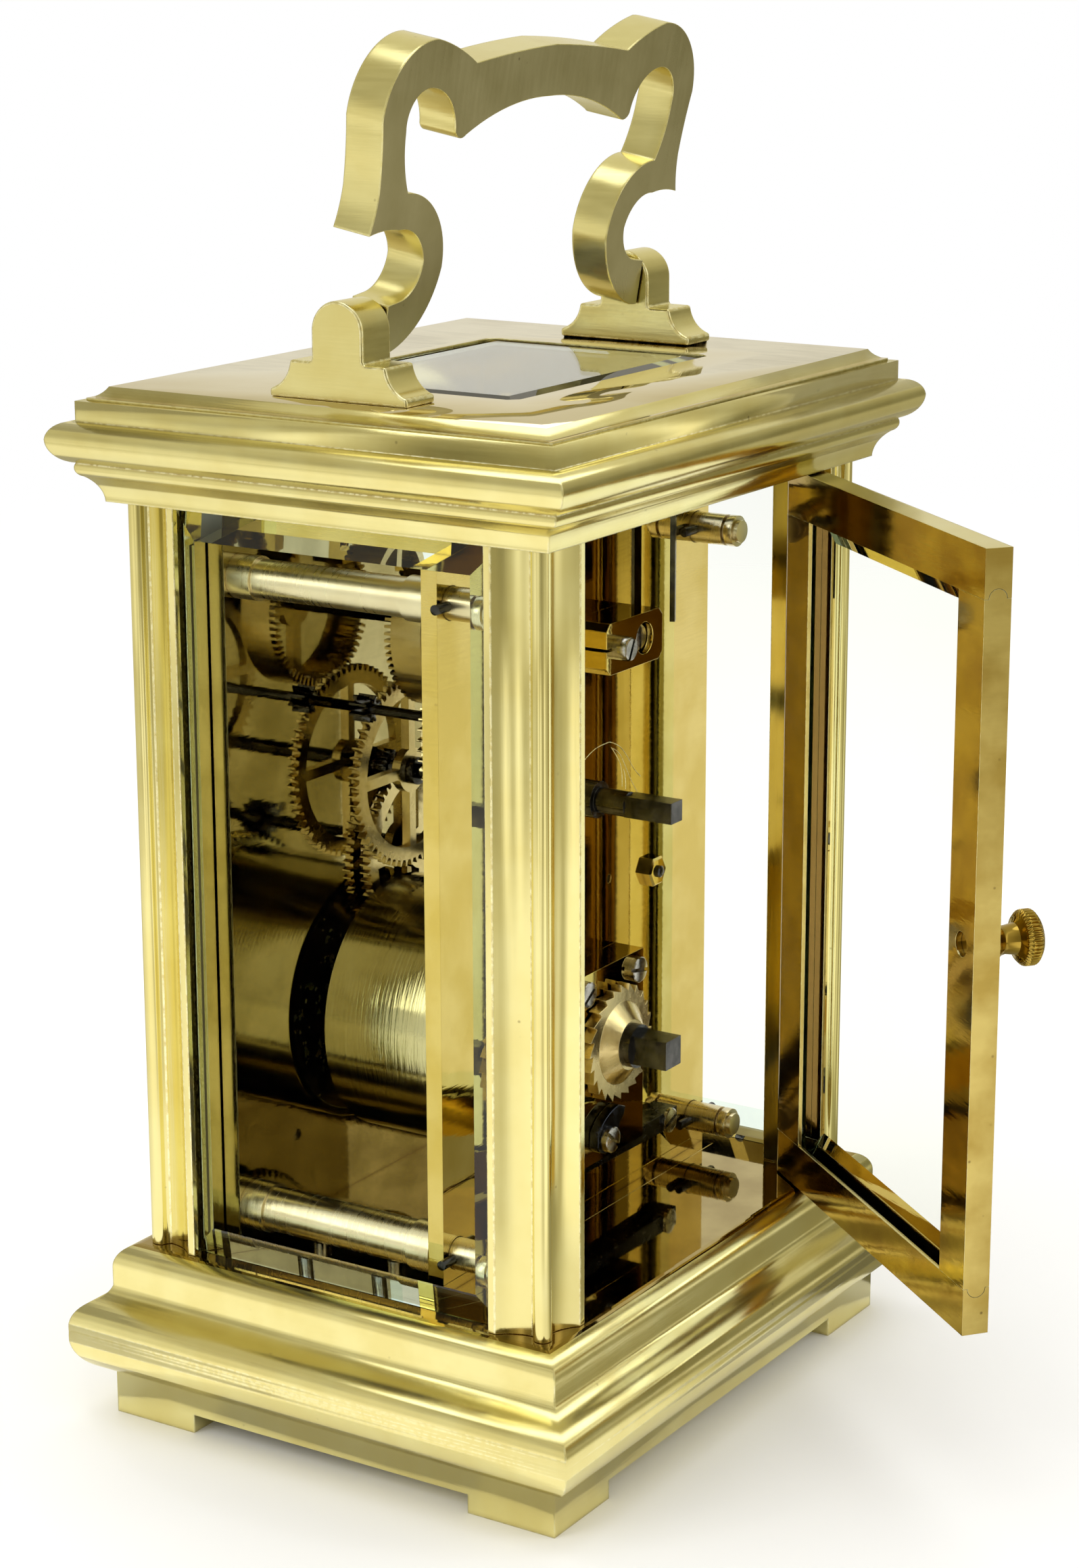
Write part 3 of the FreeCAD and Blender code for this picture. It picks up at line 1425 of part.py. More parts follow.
# Contrate end block on the back plate
end_block = new_body("ContrateBlock")
block_left = -size.block_across - size.block_width / 2
block_right = -size.block_across + size.block_width / 2
block_low = contrate_z - size.block_height / 2
block_high = contrate_z + size.block_height / 2
trim = 0.8
block_outline = [
    (block_left + trim, block_low),
    (block_right - trim, block_low),
    (block_right, block_low + trim),
    (block_right, block_high - trim),
    (block_right - trim, block_high),
    (block_left + trim, block_high),
    (block_left, block_high - trim),
    (block_left, block_low + trim),
]
block_holes = [(0, contrate_z, pivot_hole), (block_screw_x, contrate_z, screw_hole)]
block_sketch = sketch_on(end_block, "XZ_Plane", [block_outline], block_holes)
pad(end_block, block_sketch, size.block_thickness, turned_over=True)
place(end_block, y=back_outer)
tap_start = block_back - size.end_screw_grip - size.fit
sink_start = block_back - size.block_sink_depth
block_tools = [
    rod("BlockTap", screw_hole, size.end_screw_grip + size.fit, 0, tap_start, contrate_z, "y"),
    rod("BlockSink", size.block_sink, size.block_sink_depth, block_screw_x, sink_start, contrate_z, "y"),
    block(
        "BlockSlit",
        (as_size(0), back_outer, contrate_z - size.block_slit / 2),
        (block_right, block_back, contrate_z + size.block_slit / 2),
    ),
]
keep("contrate_block", cut("ContrateBlockCut", end_block, block_tools))

# Platform with its cocks, standing on both plates
escape_y = contrate_y - contrate_width - crown_height + 0.35 - escape_pinion_radius
deck_bottom = plate_top
deck_top = deck_bottom + size.platform_thickness
direction_x = math.cos(math.radians(size.lever_angle.value))
direction_y = math.sin(math.radians(size.lever_angle.value))
lever_x = size.lever_distance * direction_x
lever_y = escape_y + size.lever_distance * direction_y
balance_x = lever_x + size.balance_distance * direction_x
balance_y = lever_y + size.balance_distance * direction_y
deck = new_body("Platform")
deck_outline = rectangle(-size.platform_width / 2, size.platform_width / 2, front_outer, back_outer)
deck_taps = [
    (side * (size.platform_width / 2 - size.deck_screw_inset), y + size.plate_thickness / 2, screw_hole)
    for side in (-1, 1)
    for y in (front_outer, back_inner)
]
deck_holes = deck_taps + [
    (0, escape_y, 1.5),
    (lever_x, lever_y, 0.4),
    (balance_x, balance_y, 0.4),
]
pad(deck, sketch_on(deck, "XY_Plane", [deck_outline], deck_holes), size.platform_thickness)
place(deck, z=deck_bottom)
potence_low = mesh_z - 3.0
potence_arm = block(
    "PotenceArm", (as_size(-1.3), escape_y - 3.4, potence_low), (as_size(1.3), escape_y + 0.9, potence_low + 1.2)
)
potence_post = block(
    "PotencePost", (as_size(-1.3), escape_y - 3.4, potence_low), (as_size(1.3), escape_y - 1.9, deck_bottom + 0.2)
)
potence_hole = rod("PotenceHole", 0.25, 1.2, 0, escape_y, potence_low)
platform = cut("PlatformCut", joined("PlatformJoined", [deck, potence_arm, potence_post]), [potence_hole])
keep("platform", platform)

wheel_z = deck_top + 1.1
arm_z = wheel_z + 1.9
escape_flanks = [(size.escape_radius.value - size.escape_tooth.value, 0.2), (size.escape_radius.value, 0.05)]
escape_wires = [toothed_wire(15, 0, escape_flanks), circle_wire(0.45)]
escape_wires += spoke_windows(1.0, size.escape_radius.value - size.escape_tooth.value - 0.5, 4, 0.4)
escape_wheel = shaped("EscapeWheel", flat_solid(escape_wires, 0.5))
keep("escape_wheel", place(escape_wheel, 0, escape_y, wheel_z))
escape_steps = [
    (potence_low + 0.2, potence_low + 1.4, 0.2),
    (potence_low + 1.4, wheel_z + 0.5, 0.45),
    (wheel_z + 0.5, wheel_z + 1.1, 0.8),
    (wheel_z + 1.1, arm_z + 0.8, 0.25),
]
escape_shaft = place(turned("EscapeShaft", escape_steps, upright=True), y=escape_y)
leaf_flanks = [(0.45, 0.15), (escape_pinion_radius.value + 0.12, 0.07)]
leaf_wire = toothed_wire(int(size.escape_leaves.value), 90 + 180 / size.escape_leaves.value, leaf_flanks)
escape_pinion = place(shaped("EscapePinion", flat_solid([leaf_wire], 1.8)), 0, escape_y, mesh_z - 0.9)
keep("escape_arbor", joined("EscapeArbor", [escape_shaft, escape_pinion]))

lever = new_body("PalletLever")
lever_outline = [
    (-1.2, -2.9),
    (0.1, -3.0),
    (0.8, -0.7),
    (3.2, -0.35),
    (3.6, -0.9),
    (4.4, -0.9),
    (4.1, 0),
    (4.4, 0.9),
    (3.6, 0.9),
    (3.2, 0.35),
    (0.8, 0.7),
    (0.1, 3.0),
    (-1.2, 2.9),
    (-0.8, 0),
]
pad(lever, sketch_on(lever, "XY_Plane", [lever_outline]), 0.5)
place(lever, z=wheel_z + 0.75)
lever_steps = [(deck_bottom + 0.4, arm_z - 0.2, 0.35), (arm_z - 0.2, arm_z + 0.8, 0.25)]
lever_staff = turned("LeverStaff", lever_steps, upright=True)
stones = []
for index, y in enumerate((-2.45, 2.45)):
    low = (as_size(-1.05), as_size(y - 0.3), wheel_z)
    high = (as_size(-0.3), as_size(y + 0.3), wheel_z + 0.9)
    stones.append(block(f"Stone{index}", low, high))
pallets = joined("PalletLeverJoined", [lever, lever_staff] + stones)
keep("pallet_lever", place(pallets, lever_x, lever_y, 0, axis_z, size.lever_angle))

rim_z = arm_z + 1.6
cock_z = rim_z + 2.9
balance_ring = rod("BalanceOutside", size.balance_radius, size.balance_height, 0, 0, rim_z)
balance_inner = size.balance_radius - size.balance_rim
balance_room = rod("BalanceInside", balance_inner, size.balance_height, 0, 0, rim_z)
balance_arm = block(
    "BalanceArm",
    (0.3 - size.balance_radius, -size.balance_arm, rim_z + 0.2),
    (size.balance_radius - 0.3, size.balance_arm, rim_z + 0.8),
)
balance_steps = [
    (deck_bottom + 0.4, rim_z - 0.5, 0.35),
    (rim_z - 0.5, rim_z + 1.0, 0.9),
    (rim_z + 1.0, rim_z + 2.2, 0.6),
    (rim_z + 2.2, cock_z + 0.8, 0.3),
]
balance_staff = turned("BalanceStaff", balance_steps, upright=True)
balance = joined("Balance", [cut("BalanceRim", balance_ring, [balance_room]), balance_arm, balance_staff])
keep("balance_wheel", place(balance, balance_x, balance_y))

# Hairspring: half turns about two centres half a step apart, with its stud up to the cock
half_gauge = size.spring_gauge.value / 2
turns = 10
outer_edges = []
inner_edges = []
for half in range(turns):
    centre = vector((size.spring_pitch.value / 4) * (1 if half % 2 else -1), 0, 0)
    radius = 1.3 + size.spring_pitch.value / 2 * half
    sign = -1 if half % 2 else 1
    for edges, offset in ((outer_edges, half_gauge), (inner_edges, -half_gauge)):
        reach = radius + offset
        first = centre + vector(reach * sign, 0, 0)
        middle = centre + vector(0, reach * sign, 0)
        last = centre - vector(reach * sign, 0, 0)
        edges.append(Part.Arc(first, middle, last).toShape())
caps = [
    Part.makeLine(outer_edges[0].Vertexes[0].Point, inner_edges[0].Vertexes[0].Point),
    Part.makeLine(outer_edges[-1].Vertexes[-1].Point, inner_edges[-1].Vertexes[-1].Point),
]
coil_wire = Part.Wire(Part.__sortEdges__(outer_edges + inner_edges + caps))
coil = shaped("Coil", flat_solid([coil_wire], 0.4))
place(coil, z=rim_z + 1.4)
coil_end = outer_edges[-1].Vertexes[-1].Point
stud = block(
    "CoilStud",
    (as_size(coil_end.x - 0.35), as_size(coil_end.y - 0.4), rim_z + 1.4),
    (as_size(coil_end.x + 0.35), as_size(coil_end.y + 0.4), cock_z),
)
hairspring = joined("Hairspring", [coil, stud])
cock_turn = 35
keep("hairspring", place(hairspring, balance_x, balance_y, 0, axis_z, cock_turn + 180 * (coil_end.x < 0)))

cock_reach = size.balance_radius + 3.4
cock_half = size.cock_half
cock_foot_half = size.cock_foot_half
cock_top = cock_z + size.cock_thickness
cock_arm = block("CockArm", (-cock_half, -cock_half, cock_z), (cock_reach + cock_foot_half, cock_half, cock_top))
cock_foot = block(
    "CockFoot",
    (cock_reach - cock_foot_half, -cock_foot_half, deck_top),
    (cock_reach + cock_foot_half, cock_foot_half, cock_top),
)
cock_boss = rod("CockBoss", 1.15, size.cock_thickness + 0.9, 0, 0, cock_z)
cock_hole = rod("CockHole", 0.35, size.cock_thickness, 0, 0, cock_z)
balance_cock = cut("BalanceCock", joined("BalanceCockJoined", [cock_arm, cock_foot, cock_boss]), [cock_hole])
place(balance_cock, balance_x, balance_y, 0, axis_z, cock_turn)
lower_half = size.lower_cock_half
lower_back = size.lower_cock_back
lower_arm = block("LowerArm", (-size.lower_cock_front, -lower_half, arm_z), (lower_back, lower_half, arm_z + 0.9))
foot_half = size.lower_cock_foot / 2
lower_foot = block(
    "LowerFoot",
    (lower_back - size.lower_cock_foot, -foot_half, deck_top),
    (lower_back, foot_half, arm_z + 0.9),
)
lower_holes = [
    rod("LowerHoleEscape", 0.3, 0.9, 0, 0, arm_z),
    rod("LowerHoleLever", 0.3, 0.9, -size.lever_distance, 0, arm_z),
]
lower_cock = cut("LowerCock", joined("LowerCockJoined", [lower_arm, lower_foot]), lower_holes)
place(lower_cock, 0, escape_y, 0, axis_z, size.lever_angle - 180)
keep("platform_cocks", group("PlatformCocks", [balance_cock, lower_cock]))

index_z = cock_z + size.cock_thickness + size.fit
index_reach = (back_outer + size.pointer_gap - balance_y) / math.sin(math.radians(size.index_angle.value))
index_ring = rod("IndexRing", size.index_ring, 0.6, 0, 0, index_z)
index_arm = block("IndexArm", (as_size(0), as_size(-0.5), index_z), (index_reach, as_size(0.5), index_z + 0.6))
pointer = block(
    "IndexPointer",
    (index_reach - 0.6, as_size(-0.5), index_z + 0.6 - size.index_drop),
    (index_reach, as_size(0.5), index_z + 0.6),
)
index_hole = rod("IndexHole", 1.2, 0.6, 0, 0, index_z)
index = cut("RegulatorIndex", joined("RegulatorJoined", [index_ring, index_arm, pointer]), [index_hole])
keep("regulator_index", place(index, balance_x, balance_y, 0, axis_z, size.index_angle))

# Screws of the movement: heads outside, shanks in their holes
movement_screws = []


def back_screw(x, z, seat_y, grip, head=size.small_head_radius, head_height=size.small_head_height):
    steps = [
        (seat_y - grip, seat_y, size.small_screw_radius),
        (seat_y, seat_y + head_height, head),
    ]
    movement_screws.append(place(turned(f"BackScrew{len(movement_screws)}", steps), x=x, z=z))


def deck_screw(x, y):
    steps = [
        (deck_bottom - 3, deck_top, size.small_screw_radius),
        (deck_top, deck_top + size.small_head_height, size.deck_head_radius),
    ]
    movement_screws.append(place(turned(f"DeckScrew{len(movement_screws)}", steps, upright=True), x=x, y=y))


sink_floor = block_back - size.block_sink_depth
back_screw(block_screw_x, contrate_z, sink_floor, size.block_thickness - size.block_sink_depth + 1.6)
back_screw(0, contrate_z, block_back, size.end_screw_grip, size.end_screw_head, size.end_screw_rise)
back_screw(*bridge_screws[0], bridge_back, size.bridge_thickness + 1.6)
back_screw(*bridge_screws[1], bridge_back, size.bridge_thickness + 1.6)
back_screw(click_x, click_z, bridge_back + size.fit * 2 + size.click_thickness, size.click_thickness + 3)
back_screw(*spring_screw, back_outer + 1.6, 3.2, head_height=size.flush_head)
stud_steps = [(back_outer - 1.6, back_outer + size.stud_rise, size.small_screw_radius)]
nut_stud = place(turned("NutStud", stud_steps), x=nut_place[0], z=nut_place[1])
nut_prism = document.addObject("Part::Prism", "NutPrism")
nut_prism.Polygon = 6
bind(nut_prism, Circumradius=size.nut_radius, Height=size.nut_height)
place(nut_prism, nut_place[0], back_outer, nut_place[1], axis_x, -90)
movement_screws.append(joined("Nut", [nut_stud, nut_prism]))
for x, y, radius in deck_taps:
    deck_screw(x, y)
keep("movement_screws", group("MovementScrews", movement_screws))

# Motion work, dial and hands in front of the front plate
cannon_y = front_outer - 0.3
cannon_length = as_size(1.1)
cannon_bore = as_size(0.75)
pipe_bore = as_size(1.15)
to_minute = bearing(0, centre_z, minute_x, minute_z)
cannon_shape = pinion_shape(
    size.cannon_leaves,
    size.cannon_module,
    cannon_length,
    gap_phase(to_minute + 180, size.cannon_leaves),
    cannon_bore,
)
cannon_leaves = stand(shaped("CannonLeaves", cannon_shape), 0, cannon_y, centre_z)
cannon_outside = rod("CannonOutside", 1.05, cannon_y - cannon_front, 0, cannon_front, centre_z, "y")
cannon_inside = rod("CannonInside", cannon_bore, cannon_y - cannon_front, 0, cannon_front, centre_z, "y")
cannon_tube = cut("CannonTube", cannon_outside, [cannon_inside])
keep("cannon_pinion", joined("CannonPinion", [cannon_leaves, cannon_tube]))
minute_y = front_outer - 0.4
minute_shape = wheel_shape(
    size.minute_teeth, size.cannon_module, as_size(0.8), as_size(0.65), to_minute + 180, 1.9
)
minute_wheel = stand(shaped("MinuteWheel", minute_shape), minute_x, minute_y, minute_z)
hour_y = front_outer - 1.55
minute_pinion_shape = pinion_shape(
    size.minute_leaves,
    size.hour_module,
    as_size(1.0),
    gap_phase(to_minute, size.minute_leaves),
    as_size(0.65),
)
minute_pinion = stand(shaped("MinutePinion", minute_pinion_shape), minute_x, minute_y - 0.8, minute_z)
keep("minute_wheel", joined("MinuteWheelJoined", [minute_wheel, minute_pinion]))
hour_shape = wheel_shape(size.hour_teeth, size.hour_module, as_size(0.55), pipe_bore, to_minute, 2.2)
hour_disc = stand(shaped("HourDisc", hour_shape), 0, hour_y, centre_z)
dial_back = front_outer - size.dial_gap
dial_front = dial_back - size.dial_thickness
hour_hand_back = dial_front - 0.2
minute_hand_back = hour_hand_back - size.hand_thickness - 0.3
pipe_front = hour_hand_back - size.hand_thickness
pipe_outside = rod("PipeOutside", 1.6, hour_y - pipe_front, 0, pipe_front, centre_z, "y")
pipe_inside = rod("PipeInside", pipe_bore, hour_y - pipe_front, 0, pipe_front, centre_z, "y")
keep("hour_wheel", joined("HourWheel", [hour_disc, cut("HourPipe", pipe_outside, [pipe_inside])]))

dial = new_body("Dial")
dial_z = floor_top + size.column_height / 2
dial_outline = rectangle(
    -size.dial_width / 2, size.dial_width / 2, dial_z - size.dial_height / 2, dial_z + size.dial_height / 2
)
dial_sketch = sketch_on(dial, "XZ_Plane", [dial_outline], [(0, centre_z, 2.2)])
pad(dial, dial_sketch, size.dial_thickness, turned_over=True)
place(dial, y=dial_front)
dial_foot_places = [
    (size.dial_foot_inset - size.dial_width / 2, centre_z + size.dial_foot_rise),
    (size.dial_width / 2 - size.dial_foot_inset, centre_z + size.dial_foot_rise),
    (0, centre_z - size.dial_foot_drop),
]
dial_feet = [
    rod(f"DialFoot{index}", 0.7, size.dial_gap, x, dial_back, z, "y")
    for index, (x, z) in enumerate(dial_foot_places)
]
keep("dial", joined("DialJoined", [dial] + dial_feet))


# Spade hands pointing up, then turned to the hour
def hand(label, length, bore, spade, back, angle):
    body = new_body(label.title().replace("_", ""))
    ring = bore + 0.7
    stem = 0.35
    outline = [
        (stem, -ring * 1.6, 0.2),
        (stem, length * 0.62, 0),
        (spade, length * 0.74, 0.12),
        (0, length, 0.12),
        (-spade, length * 0.74, 0),
        (-stem, length * 0.62, 0),
        (-stem, -ring * 1.6, 0),
    ]
    pad(body, sketch_on(body, "XZ_Plane", [outline]), size.hand_thickness)
    pad(body, sketch_on(body, "XZ_Plane", circles=[(0, 0, ring)]), size.hand_thickness)
    pocket(body, sketch_on(body, "XZ_Plane", circles=[(0, 0, bore)]), symmetric=True)
    keep(label, place(body, 0, back, centre_z, axis_y, angle))


hand("hour_hand", size.hour_hand_length, as_size(1.6), 1.5, hour_hand_back, size.hour_hand_angle)
hand("minute_hand", size.minute_hand_length, as_size(1.05), 1.2, minute_hand_back, size.minute_hand_angle)

document.recompute()
faults = [item.Name for item in document.Objects if "Invalid" in item.State or "Error" in item.State]
for label, node in nodes.items():
    if node.Shape.isNull() or not node.Shape.isValid():
        faults.append(label)
if faults:
    raise RuntimeError(f"these objects failed: {faults}")
os.makedirs("parts", exist_ok=True)
for label, node in nodes.items():
    node.Shape.exportStep(f"parts/{label}.step")
print(f"wrote {len(nodes)} parts")
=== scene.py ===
import bmesh
import bpy
import json
import math
from mathutils import Matrix, Vector


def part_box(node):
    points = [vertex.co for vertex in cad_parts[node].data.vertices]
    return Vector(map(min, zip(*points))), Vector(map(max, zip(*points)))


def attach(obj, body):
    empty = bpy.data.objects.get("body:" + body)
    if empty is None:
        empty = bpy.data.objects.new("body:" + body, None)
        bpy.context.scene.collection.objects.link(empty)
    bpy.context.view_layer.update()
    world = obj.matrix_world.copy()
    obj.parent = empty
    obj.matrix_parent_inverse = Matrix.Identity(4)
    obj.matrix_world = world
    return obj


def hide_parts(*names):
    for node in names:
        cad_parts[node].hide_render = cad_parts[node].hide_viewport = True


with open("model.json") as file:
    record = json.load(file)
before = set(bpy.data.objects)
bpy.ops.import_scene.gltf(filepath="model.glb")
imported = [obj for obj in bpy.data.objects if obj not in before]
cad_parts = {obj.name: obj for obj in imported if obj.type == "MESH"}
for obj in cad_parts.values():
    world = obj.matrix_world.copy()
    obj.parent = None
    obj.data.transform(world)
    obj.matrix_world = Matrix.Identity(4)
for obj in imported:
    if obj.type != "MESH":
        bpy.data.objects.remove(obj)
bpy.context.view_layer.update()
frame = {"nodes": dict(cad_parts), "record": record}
nodes = frame["nodes"]
scene = bpy.context.scene
bodyOf = {}
for body, members in frame["record"]["behaviour"]["bodies"].items():
    bodyOf.update({node: body for node in members})
slotOf = {row["node"]: row["material_slot"] for row in frame["record"]["subparts"]}
mm = 0.001
print("frame loaded:", len(nodes), "nodes")

# Camera, solved from the photograph's straight edges
cameraSetup = {
    "place": (0.31657, 0.20617, 0.16957),
    "yaw": 57.53,
    "pitch": 14.76,
    "roll": -0.15,
    "focalPixels": 5100,
    "longSidePixels": 2319,
}


def makeCamera(setup):
    yaw, pitch, roll = (math.radians(setup[key]) for key in ("yaw", "pitch", "roll"))
    forward = Vector((-math.cos(pitch) * math.sin(yaw), -math.cos(pitch) * math.cos(yaw), -math.sin(pitch)))
    right = forward.cross(Vector((0, 0, 1))).normalized()
    up = right.cross(forward)
    rolledRight = right * math.cos(roll) + up * math.sin(roll)
    rolledUp = up * math.cos(roll) - right * math.sin(roll)
    data = bpy.data.cameras.new("photoCamera")
    data.sensor_width = 36
    data.lens = setup["focalPixels"] / setup["longSidePixels"] * data.sensor_width
    data.clip_start = 0.01
    camera = bpy.data.objects.new("photoCamera", data)
    scene.collection.objects.link(camera)
    turn = Matrix((rolledRight, rolledUp, -forward)).transposed()
    camera.matrix_world = Matrix.Translation(Vector(setup["place"])) @ turn.to_4x4()
    scene.camera = camera


makeCamera(cameraSetup)
scene.view_settings.view_transform = "Standard"


# Shader helpers
def newMaterial(name):
    material = bpy.data.materials.new(name)
    material.use_nodes = True
    tree = material.node_tree
    return material, tree, tree.nodes["Principled BSDF"]


def addNode(tree, kind, settings=None, **inputs):
    node = tree.nodes.new(kind)
    for key, value in (settings or {}).items():
        setattr(node, key, value)
    for key, value in inputs.items():
        socket = node.inputs[key]
        if isinstance(value, bpy.types.NodeSocket):
            tree.links.new(value, socket)
        else:
            socket.default_value = value
    return node


def ramp(tree, source, stops):
    node = addNode(tree, "ShaderNodeValToRGB", Fac=source)
    band = node.color_ramp
    while len(band.elements) < len(stops):
        band.elements.new(0.5)
    for element, (place, colour) in zip(band.elements, stops):
        element.position = place
        element.color = (*colour, 1) if len(colour) == 3 else colour
    return node.outputs["Color"]


def grey(value):
    return (value, value, value)


def mixColour(tree, amount, first, second, blend="MIX"):
    node = tree.nodes.new("ShaderNodeMix")
    node.data_type = "RGBA"
    node.blend_type = blend
    sockets = [socket for socket in node.inputs if socket.type == "RGBA"]
    for socket, value in zip([node.inputs[0]] + sockets, (amount, first, second)):
        if isinstance(value, bpy.types.NodeSocket):
            tree.links.new(value, socket)
        else:
            socket.default_value = value if socket.type == "VALUE" else (*value, 1)
    return [socket for socket in node.outputs if socket.type == "RGBA"][0]


def noise(tree, coordinate, scale, detail=2.0, stretch=None):
    if stretch:
        mapped = addNode(tree, "ShaderNodeMapping", Vector=coordinate, Scale=stretch)
        coordinate = mapped.outputs["Vector"]
    node = addNode(tree, "ShaderNodeTexNoise", Vector=coordinate, Scale=scale, Detail=detail)
    return node.outputs["Fac"]


# Brass: tarnish clouds, fine polishing lines, dark pits, and painted shade that browns the recesses
def brass(name, pale, deep, polish, lines=(1, 1, 14), pits=0.5, cloud=140, ripple=0.06, rubbed=None):
    material, tree, shader = newMaterial(name)
    place = addNode(tree, "ShaderNodeTexCoord").outputs["Object"]
    clouds = noise(tree, place, cloud, 4.0)
    tone = ramp(tree, clouds, [(0.36, deep), (0.62, pale)])
    cells = addNode(tree, "ShaderNodeTexVoronoi", Vector=place, Scale=700.0)
    near = ramp(tree, cells.outputs["Distance"], [(0.05, grey(1)), (0.16, grey(0))])
    chosen = ramp(tree, cells.outputs["Color"], [(0.84, grey(0)), (0.90, grey(pits))])
    pit = mixColour(tree, 1.0, near, chosen, "MULTIPLY")
    pitted = mixColour(tree, pit, tone, (0.10, 0.06, 0.02))
    # Painted shade: an occlusion mask darkens the colour brown in creases and recesses
    shade = addNode(tree, "ShaderNodeAmbientOcclusion", {"samples": 6}, Distance=0.0012)
    creaseShade = ramp(tree, shade.outputs["AO"], [(0.28, grey(0.8)), (0.62, grey(0))])
    finished = mixColour(tree, creaseShade, pitted, (0.24, 0.14, 0.04))
    streaks = noise(tree, place, 160, 3.0, lines)
    smear = noise(tree, place, 90, 3.0)
    rough = mixColour(tree, 0.5, streaks, smear)
    low, high = polish
    spread = ramp(tree, rough, [(0.34, grey(low)), (0.66, grey(high))])
    tree.links.new(spread, shader.inputs["Roughness"])
    bump = addNode(tree, "ShaderNodeBump", Strength=ripple, Distance=0.0002, Height=streaks)
    tree.links.new(bump.outputs["Normal"], shader.inputs["Normal"])
    if rubbed:
        soft = addNode(tree, "ShaderNodeBevel", {"samples": 6}, Radius=0.00036)
        tree.links.new(soft.outputs["Normal"], bump.inputs["Normal"])
        flat = addNode(tree, "ShaderNodeNewGeometry")
        turn = addNode(tree, "ShaderNodeVectorMath", {"operation": "DOT_PRODUCT"})
        tree.links.new(soft.outputs["Normal"], turn.inputs[0])
        tree.links.new(flat.outputs["Normal"], turn.inputs[1])
        edge = ramp(tree, turn.outputs["Value"], [(0.90, grey(0.9)), (0.985, grey(0))])
        specks = ramp(tree, noise(tree, place, 1500, 4.0), [(0.42, grey(0.1)), (0.56, grey(1))])
        worn = mixColour(tree, 1.0, edge, specks, "MULTIPLY")
        finished = mixColour(tree, worn, finished, rubbed)
    tree.links.new(finished, shader.inputs["Base Color"])
    shader.inputs["Metallic"].default_value = 1.0
    return material


# Rubbed edges: paler and speckled, with bare bright spots
def rubbedBrass(name, pale, deep):
    material, tree, shader = newMaterial(name)
    place = addNode(tree, "ShaderNodeTexCoord").outputs["Object"]
    specks = noise(tree, place, 1500, 5.0)
    tree.links.new(ramp(tree, specks, [(0.40, deep), (0.56, pale)]), shader.inputs["Base Color"])
    spread = ramp(tree, noise(tree, place, 1100, 4.0), [(0.35, grey(0.12)), (0.65, grey(0.42))])
    tree.links.new(spread, shader.inputs["Roughness"])
    bump = addNode(tree, "ShaderNodeBump", Strength=0.15, Distance=0.0001, Height=specks)
    tree.links.new(bump.outputs["Normal"], shader.inputs["Normal"])
    shader.inputs["Metallic"].default_value = 1.0
    return material


def steel(name, pale, deep, polish):
    material, tree, shader = newMaterial(name)
    place = addNode(tree, "ShaderNodeTexCoord").outputs["Object"]
    tone = ramp(tree, noise(tree, place, 420, 4.0), [(0.34, deep), (0.64, pale)])
    tree.links.new(tone, shader.inputs["Base Color"])
    low, high = polish
    spread = ramp(tree, noise(tree, place, 900, 3.0), [(0.3, grey(low)), (0.7, grey(high))])
    tree.links.new(spread, shader.inputs["Roughness"])
    shader.inputs["Metallic"].default_value = 1.0
    return material


def glass(name, tint, deepTint, index):
    material, tree, shader = newMaterial(name)
    place = addNode(tree, "ShaderNodeTexCoord").outputs["Object"]
    tone = ramp(tree, noise(tree, place, 40, 3.0), [(0.35, deepTint), (0.65, tint)])
    tree.links.new(tone, shader.inputs["Base Color"])
    shader.inputs["Roughness"].default_value = 0.0
    shader.inputs["Transmission Weight"].default_value = 1.0
    shader.inputs["IOR"].default_value = index
    return material


def enamel(name, tint):
    material, tree, shader = newMaterial(name)
    place = addNode(tree, "ShaderNodeTexCoord").outputs["Object"]
    warm = tuple(value * 0.96 for value in tint)
    tone = ramp(tree, noise(tree, place, 180, 4.0), [(0.35, warm), (0.65, tint)])
    tree.links.new(tone, shader.inputs["Base Color"])
    spread = ramp(tree, noise(tree, place, 500, 3.0), [(0.3, grey(0.10)), (0.7, grey(0.18))])
    tree.links.new(spread, shader.inputs["Roughness"])
    shader.inputs["Coat Weight"].default_value = 0.4
    return material


# One finish for each material slot, then those of single pieces
finishes = {
    "case_brass": brass(
        "caseBrass", (0.86, 0.79, 0.38), (0.81, 0.72, 0.31), (0.16, 0.26), rubbed=(0.95, 0.91, 0.58)
    ),
    # Door brass is a darker copy of case brass for the door's faces: painted shade
    "door_brass": brass("shadedDoorBrass", (0.50, 0.36, 0.07), (0.36, 0.23, 0.035), (0.05, 0.13), (1, 1, 6), 0.8),
    # Floor brass: a darker brass for the floor inside the case, painted shade
    "floor_brass": brass(
        "shadedFloorBrass", (0.44, 0.33, 0.11), (0.34, 0.24, 0.065), (0.02, 0.06), (1, 8, 1), 0.9, ripple=0.012
    ),
    "plate_brass": brass(
        "plateBrass", (0.68, 0.53, 0.17), (0.60, 0.45, 0.11), (0.015, 0.05), (1, 1, 10), 0.3, ripple=0.02
    ),
    "wheel_brass": brass("wheelBrass", (0.72, 0.60, 0.30), (0.58, 0.46, 0.20), (0.16, 0.30), (6, 1, 6), 0.3),
    "glass": glass("clearGlass", (0.955, 0.965, 0.92), (0.94, 0.955, 0.90), 1.01),
    "steel": steel("darkSteel", (0.10, 0.096, 0.09), (0.03, 0.029, 0.027), (0.10, 0.26)),
    "blued_steel": steel("bluedSteel", (0.05, 0.055, 0.07), (0.02, 0.022, 0.03), (0.14, 0.30)),
    "enamel": enamel("whiteEnamel", (0.93, 0.92, 0.88)),
}
columnBrass = brass(
    "columnBrass", (0.86, 0.79, 0.38), (0.80, 0.71, 0.30), (0.08, 0.16), (9, 9, 0.6), 0.5, 90, 0.04
)
satinBrass = brass("satinBrass", (0.54, 0.50, 0.30), (0.47, 0.43, 0.24), (0.26, 0.38), (10, 1, 1), 0.6)
